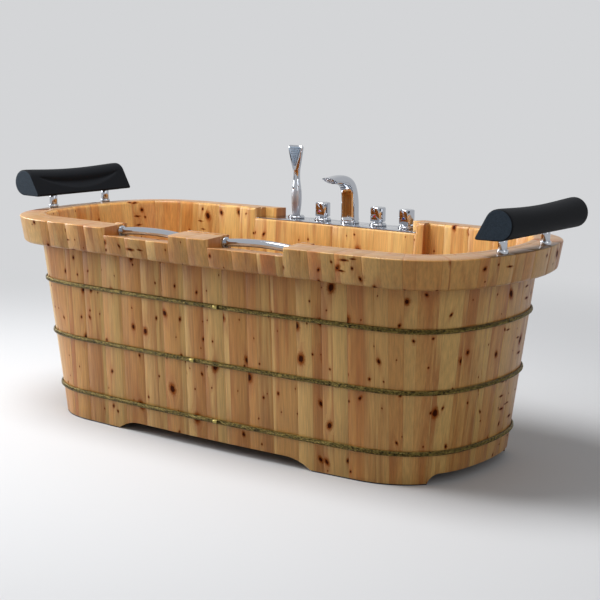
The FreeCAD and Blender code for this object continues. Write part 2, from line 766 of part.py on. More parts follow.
node(shaped("HoopFerrules", Part.makeCompound(ferrules())), "hoop_ferrules")


# Floor boards and battens

def floor_body(low, high):
    """The space between the staves from one height to another."""
    wires = [Part.Wire(inner_curve(z, size("floor_gap"))) for z in (low, high)]
    return Part.makeLoft(wires, True, True)


def floor_boards():
    top = size("floor_top")
    low = top - size("floor_thick")
    body = floor_body(low, top)
    waste = size("drain_bore") / 2 + size("drain_wall")
    hole = Part.makeCylinder(waste + 0.5, 2 * size("floor_thick"), Vector(0, 0, low - 10))
    reach = size("foot_half_width")
    cuts = spans([-reach, reach], size("floor_board"))
    boards = []
    for left, right in zip(cuts, cuts[1:]):
        slab = Part.makeBox(size("tub_length"), right - left, size("tub_length"),
                            Vector(-size("tub_length") / 2, left, -size("tub_length") / 2))
        boards += body.common(slab).cut(hole).Solids
    return boards


node(shaped("FloorBoards", Part.makeCompound(floor_boards())), "floor_boards")


def battens():
    top = size("floor_top") - size("floor_thick")
    body = floor_body(top - size("batten_deep"), top)
    pieces = []
    wide = size("batten_wide")
    for x in (-size("batten_far"), -size("batten_near"), size("batten_near"), size("batten_far")):
        slab = Part.makeBox(wide, size("tub_width"), size("tub_width"),
                            Vector(x - wide / 2, -size("tub_width") / 2, 0))
        pieces += body.common(slab).Solids
    return pieces


node(shaped("FloorBattens", Part.makeCompound(battens())), "floor_battens")


# Grab bars in the finger notches

flanges, screws, seats = [], [], []
for sign in (-1, 1):
    for stop, way in zip(FINGER_STOPS, (1, -1)):
        facing = sign * way
        x = sign * stop
        turn = Rotation(Vector(0, 0, 1), Vector(facing, 0, 0))
        at = (x, "sizes.bar_y", "sizes.bar_z")
        count = len(flanges)
        back = Rotation(Vector(0, 0, 1), Vector(-facing, 0, 0))
        screws.append(rod(f"BarScrew{count}", "sizes.bar_screw_across / 2", "sizes.bar_screw_long", at, back))
        flanges.append(rod(f"BarFlange{count}", "sizes.bar_flange_across / 2", "sizes.bar_flange_thick",
                           at, turn))
        foot = Vector(x, size("bar_y"), size("bar_z"))
        for across, long, gap, way in (("bar_flange_across", "bar_flange_thick", "seat_gap", facing),
                                       ("bar_screw_across", "bar_screw_long", "bore_gap", -facing)):
            seats.append(Part.makeCylinder(size(across) / 2 + size(gap), size(long) + size("seat_gap"),
                                           foot, Vector(way, 0, 0)))
node(group("BarFlanges", flanges), "grab_bar_flanges")
node(group("BarScrews", screws), "grab_bar_screws")


def cut_boards(label, tool):
    """Cut the same holes into every board of a node."""
    boards = next(obj for obj in NODES if obj.Label == label)
    boards.Shape = Part.makeCompound([board.cut(tool) for board in boards.Shape.Solids])


for label in ("front_wall_staves", "front_grab_rail"):
    cut_boards(label, Part.makeCompound(seats))


def bar(name, sign, ends):
    """A tube that arches gently up between the two flanges of a finger notch."""
    low, high = [sign * stop for stop in (FINGER_STOPS if sign > 0 else FINGER_STOPS[::-1])]
    inset = size("bar_flange_thick") / 2
    y, z, rise = size("bar_y"), size("bar_z"), size("bar_rise")
    points = [Vector(low + inset, y, z), Vector((low + high) / 2, y, z + rise), Vector(high - inset, y, z)]
    arc = Part.Arc(*points)
    spine = shaped(f"{name}Path", arc.toShape())
    start = arc.tangent(arc.FirstParameter)[0]
    circle = doc.addObject("Part::Circle", f"{name}Section")
    circle.setExpression("Radius", "sizes.bar_across / 2")
    circle.Placement = Placement(points[0], Rotation(Vector(0, 0, 1), start))
    sweep = doc.addObject("Part::Sweep", f"{name}Tube")
    sweep.Sections = [circle]
    sweep.Spine = (spine, ["Edge1"])
    sweep.Solid = True
    return less(name, sweep, joined(f"{name}Ends", ends))


node(bar("LeftBar", -1, flanges[:2]), "left_grab_bar")
node(bar("RightBar", 1, flanges[2:]), "right_grab_bar")


# Deck plate and the holes of the five taps

TAP_XS = [size("tap_middle") + step * size("tap_pitch") for step in (-2, -1, 0, 1, 2)]
SHOWER_X, DIVERTER_X, SPOUT_X, HOT_X, COLD_X = TAP_XS
PLATE_TOP = size("tap_notch_floor") + size("plate_thick")


def tap_holes():
    holes = [Part.makeCylinder(size("deck_hole") / 2, 200, Vector(x, size("tap_y"), 450)) for x in TAP_XS]
    return Part.makeCompound(holes)


def deck_plate():
    """Thin plate over the whole floor of the tap notch, narrower in the gap of the rim."""
    low, high = size("tap_notch_floor"), PLATE_TOP
    front = drawn_in(stave_inside(low, size("apron_thick")), -4)
    parts = []
    for reach, rear in ((size("tap_notch_half") - 1, drawn_in(stave_outside(low), 1)),
                        (size("tap_gap_half") - 1, rim_shape(taper(low) + 2))):
        profile = [(rear, low), (rear, high), (front, high), (front, low)]
        parts.append(block(profile, *[ray_at_x(BASE, x, 1) for x in (-reach, 0, reach)]))
    return parts[0].fuse(parts[1]).removeSplitter().cut(tap_holes())


node(shaped("DeckPlate", deck_plate()), "deck_plate")
cut_boards("rear_rim_boards", tap_holes())


# Rings, shanks and nuts of the taps

def at_tap(x, z):
    return (x, "sizes.tap_y", z)


def ring(name, x, across, high):
    """Stepped ring round a shank."""
    inner = "sizes.shank_across / 2 + 0.05"
    outline = [(inner, 0), (f"{across} / 2", 0), (f"{across} / 2", f"{high} * 0.55"),
               (f"{across} / 2 - 2", f"{high} * 0.65"), (f"{across} / 2 - 2", high), (inner, high)]
    return turned(name, outline, at_tap(x, "sizes.tap_notch_floor + sizes.plate_thick"))


rings = []
for index, x in enumerate(TAP_XS):
    across = "sizes.spout_base_across" if x == SPOUT_X else "sizes.escutcheon_across"
    rings.append(ring(f"TapRing{index}", x, across, "sizes.escutcheon_thick"))
node(group("TapRings", rings), "tap_escutcheons")


def deck_nut(name, x):
    prism = doc.addObject("Part::Prism", f"{name}Blank")
    prism.Polygon = 6
    prism.setExpression("Circumradius", "sizes.nut_across / sqrt(3)")
    prism.setExpression("Height", "sizes.nut_high")
    under = "sizes.rim_outer_z - sizes.rim_band - sizes.nut_high"
    placed(prism, at_tap(x, under))
    bore = rod(f"{name}Bore", "sizes.shank_across / 2 + 0.05", "sizes.nut_high", at_tap(x, under))
    return less(name, prism, bore)


node(group("DeckNuts", [deck_nut(f"DeckNut{i}", x) for i, x in enumerate(TAP_XS)]), "deck_nuts")

VALVE_TOP = "sizes.rim_outer_z - sizes.rim_band - sizes.nut_high"
DECK_HIGH = "sizes.rim_band - sizes.rim_outer_z + sizes.tap_notch_floor"
SHANK_HIGH = f"sizes.nut_high + {DECK_HIGH} + sizes.plate_thick + 5"


def valve(name, x):
    """Valve body under the deck with its threaded shank, bored for the spindle."""
    body = rod(f"{name}Casing", "sizes.valve_across / 2", "sizes.valve_high",
               at_tap(x, f"{VALVE_TOP} - sizes.valve_high"))
    shank = rod(f"{name}Shank", "sizes.shank_across / 2", SHANK_HIGH, at_tap(x, VALVE_TOP))
    bore = rod(f"{name}Bore", "sizes.spindle_across / 2 + sizes.spindle_gap", f"{SHANK_HIGH} + 30",
               at_tap(x, f"{VALVE_TOP} - 30"))
    return less(name, joined(f"{name}Solid", [body, shank]), bore)


valves = [valve("HotValve", HOT_X), valve("ColdValve", COLD_X), valve("DiverterValve", DIVERTER_X)]
node(group("ValveBodies", valves), "valve_bodies")


# Knobs with their marks and spindles

def knob_outline():
    neck, low = "sizes.knob_neck_across / 2", 0.3
    top = "sizes.knob_neck + sizes.knob_high"
    socket = "sizes.spindle_across / 2 + 0.02"
    wide = "sizes.knob_across / 2"
    return [(socket, low), (neck, low), (neck, "sizes.knob_neck"), (f"{wide} - 1", "sizes.knob_neck"),
            (wide, "sizes.knob_neck + 1"), (wide, f"{top} - sizes.knob_edge"),
            (f"{wide} - sizes.knob_edge", top), (0, f"{top} + 0.8"), (0, 30), (socket, 30)]


def knob(kind, x):
    """A tap's knob with a slanted front face, its coloured mark and its spindle."""
    ring_top = PLATE_TOP + size("escutcheon_thick")
    base = Placement(Vector(x, size("tap_y"), ring_top), Rotation())
    lean = Rotation(Vector(1, 0, 0), size("knob_slant"))
    face = base.multiply(Placement(Vector(0, -size("knob_flat"), size("knob_neck")), lean))
    reach = size("knob_across")
    blank = turned(f"{kind}Blank", knob_outline(),
                   at_tap(x, "sizes.tap_notch_floor + sizes.plate_thick + sizes.escutcheon_thick"))
    slab = doc.addObject("Part::Box", f"{kind}Slab")
    slab.Length, slab.Width, slab.Height = 2 * reach, reach, 2 * reach
    slab.Placement = face.multiply(Placement(Vector(-reach, -reach, -reach / 2), Rotation()))
    spur = doc.addObject("Part::Cone", f"{kind}Spur")
    spur.Radius1, spur.Radius2, spur.Height = 4.5, 1.8, 9
    spur_lean = Rotation(Vector(0, 0, 1), Vector(0, -0.72, 0.69))
    spur_foot = Vector(0, -17.5, size("knob_neck") + size("knob_high") - 4.5)
    spur.Placement = base.multiply(Placement(spur_foot, spur_lean))
    flat = Rotation(Vector(1, 0, 0), 90)
    seat = doc.addObject("Part::Cylinder", f"{kind}MarkSeat")
    seat.setExpression("Radius", "sizes.mark_across / 2")
    seat.Height = 5
    seat.Placement = face.multiply(Placement(Vector(0, size("mark_deep"), 16), flat))
    hole = doc.addObject("Part::Cylinder", f"{kind}Hole")
    hole.Radius, hole.Height = 2, 8
    hole.Placement = face.multiply(Placement(Vector(0, 3, 28), flat))
    cut = less(f"{kind}Slanted", blank, slab)
    whole = joined(f"{kind}Spurred", [cut, spur])
    node(less(f"{kind}Knob", less(f"{kind}Seated", whole, seat), hole), f"{kind.lower()}_knob")
    mark = doc.addObject("Part::Cylinder", f"{kind}Mark")
    mark.setExpression("Radius", "sizes.mark_across / 2 - 0.05")
    mark.setExpression("Height", "sizes.mark_deep + 0.3")
    mark.Placement = seat.Placement
    node(mark, f"{kind.lower()}_mark")
    spindle = rod(f"{kind}Spindle", "sizes.spindle_across / 2", f"{SHANK_HIGH} + 48",
                  at_tap(x, f"{VALVE_TOP} - 22"))
    node(spindle, f"{kind.lower()}_spindle")


for kind, x in (("Hot", HOT_X), ("Cold", COLD_X), ("Diverter", DIVERTER_X)):
    knob(kind, x)


# Spout: a cast body through rounded sections, with its waterway and aerator

SPOUT_SECTIONS = [
    # y, z, lean towards the bath in degrees, width, depth
    (338, 560.5, 0, 51, 51),
    (338, 572, 0, 49, 48),
    (337.5, 602, 2, 48.5, 47),
    (334, 636, 12, 47.5, 43),
    (322, 664, 40, 46.5, 38),
    (297, 679, 74, 46, 31),
    (262, 683, 89, 45.5, 24),
    (235, 682.5, 92, 44, 20),
    (208, 681, 94, 41, 17),
]
SPOUT_TIP = Vector(0, 219, 690.5)
SPOUT_CHIN = Vector(0, 254, 671)


def rounded_section(y, z, lean, width, depth, squareness=2.6):
    """A closed smooth curve between an ellipse and a rectangle, on a leaning plane."""
    points = []
    for step in range(16):
        angle = 2 * math.pi * step / 16
        c, s = math.cos(angle), math.sin(angle)
        points.append(Vector(math.copysign(abs(c) ** (2 / squareness), c) * width / 2,
                             math.copysign(abs(s) ** (2 / squareness), s) * depth / 2, 0))
    curve = Part.BSplineCurve()
    curve.interpolate(points, PeriodicFlag=True)
    wire = Part.Wire([curve.toShape()])
    wire.Placement = Placement(Vector(0, y, z), Rotation(Vector(1, 0, 0), lean))
    return wire


def spout_body():
    """The spout cut open at its mouth, and the aerator that fits there."""
    blank = Part.makeLoft([rounded_section(*row) for row in SPOUT_SECTIONS], True)
    along = SPOUT_CHIN - SPOUT_TIP
    out = Vector(0, along.z, -along.y).normalize()
    slab = Part.makeBox(120, 90, 60)
    lean = math.degrees(math.atan2(along.z, along.y))
    slab.Placement = Placement(SPOUT_TIP, Rotation(Vector(1, 0, 0), lean))
    slab.translate(slab.Placement.Rotation.multVec(Vector(-60, -25, -60)))
    bore = size("waterway") / 2
    mouth = (SPOUT_TIP + SPOUT_CHIN) * 0.5
    seat = Part.makeCylinder(size("aerator_across") / 2, 12, mouth - out * 5, out)
    rise = Part.makeCylinder(bore, 110, Vector(0, 338, 552))
    run = Part.makeCylinder(bore, 92, Vector(0, 330, 664), Vector(0, -92, 17))
    aerator = Part.makeCylinder(size("aerator_across") / 2 - 0.05, 6.2, mouth - out * 4.9, out)
    return blank.cut(slab).cut(seat).cut(rise.fuse(run)), aerator


spout, aerator = [shape.translated(Vector(SPOUT_X, 0, 0)) for shape in spout_body()]
node(shaped("SpoutBody", spout), "spout_body")
node(shaped("SpoutAerator", aerator), "spout_aerator")

shank = rod("SpoutShankSolid", "sizes.shank_across / 2", f"{SHANK_HIGH} + 24",
            at_tap(SPOUT_X, f"{VALVE_TOP} - 24"))
shank_bore = rod("SpoutShankBore", "sizes.waterway / 2", f"{SHANK_HIGH} + 20",
                 at_tap(SPOUT_X, f"{VALVE_TOP} - 20"))
spout_shank = node(less("SpoutShank", shank, shank_bore), "spout_shank")


# Pipes under the deck and the threaded ends for the hoses

def threaded_tail(name, x, top):
    """Collar with a male thread that points down, for a supply hose."""
    hollow, thread, low = "sizes.pipe_bore / 2", "sizes.tail_across / 2", "-sizes.tail_length - 6"
    outline = [(hollow, low), (thread, low), (thread, -6), (13, -6), (13, 0), (hollow, 0)]
    return turned(name, outline, at_tap(x, top))


VALVE_FOOT = f"{VALVE_TOP} - sizes.valve_high"
tails = [threaded_tail("HotTail", HOT_X, VALVE_FOOT), threaded_tail("ColdTail", COLD_X, VALVE_FOOT)]
node(group("InletTails", tails), "inlet_tails")

OUTLET_X = "sizes.tap_middle - 1.55 * sizes.tap_pitch"
hollow, thread = "sizes.pipe_bore / 2", "sizes.tail_across / 2"
outlet_outline = [(hollow, -38), (thread, -38), (thread, -22), (12, -22),
                  (12, 0), (0, 0), (0, -4), (hollow, -4)]
outlet = turned("HoseOutlet", outlet_outline, at_tap(OUTLET_X, f"{VALVE_TOP} - 3"))
node(outlet, "hose_outlet")


def pipe(name, start, end, height, bodies):
    """Straight copper pipe along X, its ends shaped to the round bodies that it joins."""
    turn = Rotation(Vector(0, 0, 1), Vector(1, 0, 0))
    at, length = (start, "sizes.tap_y", height), f"{end} - ({start})"
    outer = rod(f"{name}Outer", "sizes.pipe_across / 2", length, at, turn)
    inner = rod(f"{name}Bore", "sizes.pipe_bore / 2", length, at, turn)
    tube = less(f"{name}Tube", outer, inner)
    for index, body in enumerate(bodies):
        tube = less(f"{name}Fitted{index}", tube, body)
    return tube


LOW_PIPE = f"{VALVE_TOP} - 40"
HIGH_PIPE = f"{VALVE_TOP} - 14"
HALF_VALVE = "sizes.valve_across / 2 - 2.5"
DIVERTER_SIDE = f"sizes.tap_middle - sizes.tap_pitch + {HALF_VALVE}"
COLD_SIDE = f"sizes.tap_middle + 2 * sizes.tap_pitch - ({HALF_VALVE})"
hot_valve, cold_valve, diverter_valve = valves
HOT_MIDDLE = "sizes.tap_middle + sizes.tap_pitch"
mixed = [pipe("MixedPipe0", f"{HOT_MIDDLE} + {HALF_VALVE}", COLD_SIDE, LOW_PIPE, [hot_valve, cold_valve]),
         pipe("MixedPipe1", DIVERTER_SIDE, f"{HOT_MIDDLE} - ({HALF_VALVE})", LOW_PIPE,
              [diverter_valve, hot_valve])]
node(group("MixedPipes", mixed), "mixed_water_pipe")
node(pipe("SpoutPipe", DIVERTER_SIDE, "sizes.tap_middle - sizes.shank_across / 2 + 3", HIGH_PIPE,
          [diverter_valve, spout_shank]), "spout_pipe")
node(pipe("ShowerPipe", f"{OUTLET_X} + 9", f"sizes.tap_middle - sizes.tap_pitch - ({HALF_VALVE})", HIGH_PIPE,
          [outlet, diverter_valve]), "shower_pipe")


# Hand shower and its holder

holder_outline = [("sizes.grip_tail_across / 2 + sizes.grip_tail_gap", -20), ("sizes.shank_across / 2", -20),
                  ("sizes.shank_across / 2", f"{SHANK_HIGH}"),
                  ("sizes.grip_tail_across / 2 + sizes.grip_tail_gap", f"{SHANK_HIGH}")]
node(turned("ShowerHolder", holder_outline, at_tap(SHOWER_X, VALVE_TOP)), "shower_holder")


def spun(profile, at):
    """Solid of revolution from a smooth curve through (radius, height) points."""
    points = [Vector(radius, 0, height) for radius, height in profile]
    curve = Part.BSplineCurve()
    curve.interpolate(points)
    top, low = Vector(0, 0, points[-1].z), Vector(0, 0, points[0].z)
    edges = [curve.toShape(),
             Part.makeLine(points[-1], top),
             Part.makeLine(top, low),
             Part.makeLine(low, points[0])]
    solid = Part.Face(Part.Wire(edges)).revolve(Vector(0, 0, 0), Vector(0, 0, 1), 360)
    solid.translate(at)
    return solid


def shower_grip():
    """Satin barrel with a tail that stands in the holder."""
    widest = size("grip_across") / 2
    base = PLATE_TOP + size("escutcheon_thick") + 0.3
    high = size("grip_top") - base
    profile = [(0.68 * widest, 0), (0.86 * widest, 0.22 * high), (widest, 0.6 * high), (0.9 * widest, high)]
    at = Vector(SHOWER_X, size("tap_y"), base)
    barrel = spun(profile, at)
    tail = Part.makeCylinder(size("grip_tail_across") / 2, 32, at - Vector(0, 0, 30))
    return barrel.fuse(tail).removeSplitter()


node(shaped("ShowerGrip", shower_grip()), "shower_grip")

HEAD_SECTIONS = [
    # y from the grip's axis, z, width, depth, squareness
    (0, 640, 27.8, 27.8, 2),
    (0, 655, 24.4, 24.4, 2),
    (0, 670, 21, 21, 2),
    (0, 684, 20.6, 20.6, 2),
    (-1, 697, 23.5, 20, 2.2),
    (-2.5, 713, 31.5, 18, 2.6),
    (-4, 733, 41, 17, 3),
    (-5, 752, 49, 16, 3.2),
    (-5, 766, 54, 14, 3.2),
]
HEAD_FACE = -11


def shower_head():
    """Polished neck that opens into a flat, drop-shaped head."""
    wires = []
    for y, z, width, depth, squareness in HEAD_SECTIONS:
        wire = rounded_section(0, 0, 0, width, depth, squareness)
        wire.translate(Vector(SHOWER_X, size("tap_y") + y, z))
        wires.append(wire)
    cap = rounded_section(0, 0, 0, 46, 7, 3.2)
    cap.translate(Vector(SHOWER_X, size("tap_y") - 5, 771))
    slab = Part.makeBox(100, 40, 80, Vector(SHOWER_X - 50, size("tap_y") + HEAD_FACE - 40, 698))
    return Part.makeLoft(wires, True).fuse(Part.makeLoft([wires[-1], cap], True, True)).cut(slab)


node(shaped("ShowerHead", shower_head()), "shower_head_shell")


def nozzle_plate():
    """Drop-shaped plate with rounded corners on the head's front."""
    low, high, half = 699, 766.5, 23
    corners = [Vector(0, 0, low), Vector(half, 0, high), Vector(-half, 0, high)]
    face = Part.Face(Part.makePolygon(corners + corners[:1]))
    plate = face.extrude(Vector(0, -2, 0))
    upright = [e for e in plate.Edges if abs(e.tangentAt(e.FirstParameter).y) > 0.99]
    plate = plate.makeFillet(5, upright)
    plate.translate(Vector(SHOWER_X, size("tap_y") + HEAD_FACE, 0))
    return plate


node(shaped("ShowerNozzles", nozzle_plate()), "shower_nozzle_plate")


# Head pillows on their posts

def pillow_section(y, inset=0, drawn=0, hollow=0.3):
    """Round back, rounded tip and a slanted face that is hollow by a given depth."""
    big, small = size("pillow_round") - inset - drawn / 2, size("pillow_tip_round") - 0.5 * inset
    back = Vector(size("pillow_x"), 0, size("pillow_z") - drawn / 2)
    tip = Vector(size("pillow_tip_x") + 0.4 * inset, 0, size("pillow_tip_z"))
    line = back - tip
    spread = math.acos((big - small) / line.Length)
    facing = math.atan2(-line.z, -line.x)

    def rim(centre, radius, angle):
        return centre + Vector(math.cos(angle), 0, math.sin(angle)) * radius + Vector(0, y, 0)

    upper, lower = facing - spread, facing + spread
    over = rim(back, big, upper)
    under = rim(back, big, lower)
    far = rim(back, big, facing + math.pi)
    nose_top, nose_low = rim(tip, small, upper), rim(tip, small, lower)
    slant = over - nose_top
    inward = Vector(slant.z, 0, -slant.x).normalize()
    middle = (over + nose_top) * 0.5 + inward * hollow
    up_half = rim(back, big, upper - (upper - (facing - math.pi)) / 2)
    low_half = rim(back, big, lower + ((facing + math.pi) - lower) / 2)
    return Part.Wire([
        Part.Arc(nose_top, middle, over).toShape(), Part.Arc(over, up_half, far).toShape(),
        Part.Arc(far, low_half, under).toShape(), Part.makeLine(under, nose_low),
        Part.Arc(nose_low, rim(tip, small, facing), nose_top).toShape()])


def pillow_board(sign):
    long, wide, thick = size("board_long"), size("board_wide"), size("board_thick")
    low = Vector(size("post_x") - wide / 2, -long / 2, size("post_top"))
    board = Part.makeBox(wide, long, thick, low)
    return board if sign > 0 else board.mirror(Vector(0, 0, 0), Vector(1, 0, 0))


def pillow(sign):
    """Soft cushion: flat end caps, a saddle along the top and a hollow for the neck."""
    half, edge = size("pillow_half"), size("pillow_edge")
    flat = half - edge
    crown, hollow = size("pillow_crown"), size("pillow_hollow")
    rows = [(-flat, 0, 0.3), (-0.5 * flat, 0.6 * crown, 0.6 * hollow), (0, crown, hollow),
            (0.5 * flat, 0.6 * crown, 0.6 * hollow), (flat, 0, 0.3)]
    body = Part.makeLoft([pillow_section(y, 0, drawn, deep) for y, drawn, deep in rows], True)
    for end in (-1, 1):
        cap = [pillow_section(end * y, inset) for y, inset in ((flat, 0), (half - 1.5, 1.5), (half, edge))]
        body = body.fuse(Part.makeLoft(cap, True, True))
    if sign < 0:
        body = body.mirror(Vector(0, 0, 0), Vector(1, 0, 0))
    return body.cut(pillow_board(sign))


node(shaped("LeftPillow", pillow(-1)), "left_pillow")
node(shaped("RightPillow", pillow(1)), "right_pillow")
node(shaped("PillowBoards", Part.makeCompound([pillow_board(-1), pillow_board(1)])), "pillow_mount_boards")

posts, collars, studs = [], [], []
for sign, rim_name in ((-1, "left_rim_boards"), (1, "right_rim_boards")):
    rim = next(obj for obj in NODES if obj.Label == rim_name)
    for side in (-1, 1):
        spot = (f"{sign} * sizes.post_x", f"{side} * sizes.post_y")
        tag = len(posts)
        solid = rod(f"PostBlank{tag}", "sizes.post_across / 2", "sizes.post_top - sizes.post_collar_top",
                    spot + ("sizes.post_collar_top",))
        bore = rod(f"PostBore{tag}", "sizes.stud_across / 2 + 0.05", "sizes.post_top", spot + (0,))
        posts.append(less(f"Post{tag}", solid, bore))
        blank = rod(f"CollarBlank{tag}", "sizes.post_collar_across / 2", "16 mm",
                    spot + ("sizes.post_collar_top - 16",))
        collars.append(less(f"Collar{tag}", less(f"CollarFitted{tag}", blank, rim), bore))
        studs.append(rod(f"Stud{tag}", "sizes.stud_across / 2", "sizes.post_top - 540", spot + (540,)))
    holes = [Part.makeCylinder(size("stud_across") / 2 + size("bore_gap"), 60,
                               Vector(sign * size("post_x"), side * size("post_y"), 540)) for side in (-1, 1)]
    cut_boards(rim_name, Part.makeCompound(holes))
node(group("PillowPosts", posts), "pillow_posts")
node(group("PostCollars", collars), "pillow_post_collars")
node(group("PostStuds", studs), "pillow_post_studs")


# Waste, plug and overflow

floor_z = "sizes.floor_top"
bore, wall_r = "sizes.drain_bore / 2", "sizes.drain_bore / 2 + sizes.drain_wall"
flange = [(bore, 0), ("sizes.drain_across / 2", 0), ("sizes.drain_across / 2", 1),
          ("sizes.drain_across / 2 - 4", "sizes.drain_flange_thick"),
          (f"{bore} + 2", "sizes.drain_flange_thick"), (bore, 1.5)]
node(turned("DrainFlange", flange, (0, 0, floor_z)), "drain_flange")

tail_z = "sizes.drain_tail_z - sizes.floor_top"
tail_r = "sizes.drain_tail_across / 2"
waste = [(f"{tail_r} - 2", tail_z), (tail_r, tail_z), (tail_r, f"{tail_z} + 20"), (wall_r, f"{tail_z} + 24"),
         (wall_r, 0), (bore, 0), (bore, f"{tail_z} + 26"), (f"{tail_r} - 2", f"{tail_z} + 22")]
waste_tube = turned("WasteTube", waste, (0, 0, floor_z))
bridge = brick("WasteBridgeBlank", "sizes.drain_bore + 2", "8 mm", "6 mm",
               ("-sizes.drain_bore / 2 - 1", -4, f"{floor_z} - 26"))
hub = rod("WasteHub", "sizes.plug_stem / 2 + 3", "6 mm", (0, 0, f"{floor_z} - 26"))
guide = rod("WasteGuide", "sizes.plug_stem / 2 + 0.05", "20 mm", (0, 0, f"{floor_z} - 30"))
node(less("DrainBody", joined("WasteSolid", [waste_tube, bridge, hub]), guide), "drain_body")

plug = [(0, -34), ("sizes.plug_stem / 2", -34), ("sizes.plug_stem / 2", -3), (f"{bore} - 0.6", -1),
        (f"{bore} - 0.6", 1.5), (f"{bore} - 3", 2.6), (0, 3)]
node(turned("DrainPlug", plug, (0, 0, floor_z)), "drain_plug")


def overflow():
    """Plate inside the apron, a tube through both boards and an elbow outside the wall."""
    z = size("overflow_z")
    run = size("foot_half_width") - size("shoulder_half_width")
    inward = Vector(0, -1, -run / UNDER_RIM).normalize()
    face = meet(stave_inside(z, size("apron_thick")), ray_at_x(BASE, 0, 1), z)
    radius = size("overflow_pipe") / 2
    plate = Part.makeCylinder(size("overflow_across") / 2, 6, face + inward * 0.2, inward)
    front_edge = min((e for e in plate.Edges if len(e.Vertexes) == 1), key=lambda e: e.CenterOfMass.y)
    plate = plate.makeFillet(2.5, [front_edge])
    for step in (-14, -2, 10):
        plate = plate.cut(Part.makeBox(30, 30, 4, Vector(-15, face.y - 15, z + step)))
    through = size("stave_thick") + size("apron_thick")
    inner, outer = radius - 2, radius + 2
    bend = Vector(0, face.y + through + outer + 12, z)
    tail = size("overflow_tail")
    shoulder = size("overflow_drop") - tail
    wall = Vector(0, face.y + 1, z)
    back, down = Vector(0, 1, 0), Vector(0, 0, -1)
    elbow = Part.makeCylinder(radius, bend.y - wall.y, wall, back)
    elbow = elbow.fuse(Part.makeSphere(outer, bend))
    elbow = elbow.fuse(Part.makeCylinder(outer, shoulder, bend, down))
    elbow = elbow.fuse(Part.makeCylinder(radius, shoulder + tail, bend, down))
    hollow = Part.makeCylinder(inner, bend.y - wall.y + 1, wall - back, back)
    hollow = hollow.fuse(Part.makeSphere(inner, bend))
    hollow = hollow.fuse(Part.makeCylinder(inner, shoulder + tail + 1, bend, down))
    elbow = elbow.cut(hollow)
    hole = Part.makeCylinder(radius + 0.3, 2 * through, Vector(0, face.y - 5, z), Vector(0, 1, 0))
    return plate, elbow, hole


plate, elbow, hole = overflow()
node(shaped("OverflowPlate", plate), "overflow_plate")
node(shaped("OverflowElbow", elbow), "overflow_elbow")
for label in ("rear_wall_staves", "rear_deck_apron"):
    cut_boards(label, hole)


def write_out():
    """Check every object, then write each node to its own file."""
    doc.recompute()
    for obj in doc.Objects:
        if "Invalid" in obj.State or "Error" in obj.State:
            raise RuntimeError(f"{obj.Label}: {obj.State}")
    os.makedirs("parts", exist_ok=True)
    for obj in NODES:
        shape = obj.Shape
        if shape.isNull() or not shape.isValid() or shape.Volume <= 0:
            raise RuntimeError(f"{obj.Label}: bad shape")
        shape.exportStep(f"parts/{obj.Label}.step")
        print(f"{obj.Label}: {len(shape.Solids)} solids, {shape.Volume / 1e3:.1f} cm3")


write_out()
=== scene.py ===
import json
import math
import random

import bmesh
import bpy
from mathutils import Matrix, Vector
from mathutils.bvhtree import BVHTree
from mathutils.kdtree import KDTree


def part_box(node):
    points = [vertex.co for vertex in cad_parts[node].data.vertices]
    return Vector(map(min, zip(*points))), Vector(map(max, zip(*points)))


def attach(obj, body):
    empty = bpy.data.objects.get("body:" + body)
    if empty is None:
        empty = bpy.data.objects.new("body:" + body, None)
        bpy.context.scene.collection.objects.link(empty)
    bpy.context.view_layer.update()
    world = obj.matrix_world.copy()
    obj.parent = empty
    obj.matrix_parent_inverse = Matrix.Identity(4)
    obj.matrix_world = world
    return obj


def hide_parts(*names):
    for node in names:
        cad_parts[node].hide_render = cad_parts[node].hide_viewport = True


bl_info = {
    "name": "Wooden bathtub",
    "version": (1, 0, 0),
    "blender": (4, 5, 0),
    "location": "View3D > Sidebar > Bathtub",
    "description": "Dresses a stave bathtub with its timber, wire hoops, pillows, taps and studio",
    "category": "Object",
}

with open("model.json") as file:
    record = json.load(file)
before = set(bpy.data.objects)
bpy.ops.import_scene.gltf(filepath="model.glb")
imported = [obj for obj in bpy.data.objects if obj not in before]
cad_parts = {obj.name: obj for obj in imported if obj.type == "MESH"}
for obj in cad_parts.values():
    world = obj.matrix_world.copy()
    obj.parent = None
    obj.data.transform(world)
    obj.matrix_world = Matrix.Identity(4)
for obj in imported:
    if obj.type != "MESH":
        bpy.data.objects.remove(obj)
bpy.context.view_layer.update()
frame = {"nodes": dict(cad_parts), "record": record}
MM = 0.001
TUB = "tub"
WALLS = ("front_wall_staves", "rear_wall_staves", "left_end_staves", "right_end_staves")
RIMS = ("front_rim_boards", "rear_rim_boards", "left_rim_boards", "right_rim_boards")
LININGS = ("front_grab_rail", "rear_deck_apron")
HOOPS = ("top_hoop", "middle_hoop", "bottom_hoop")


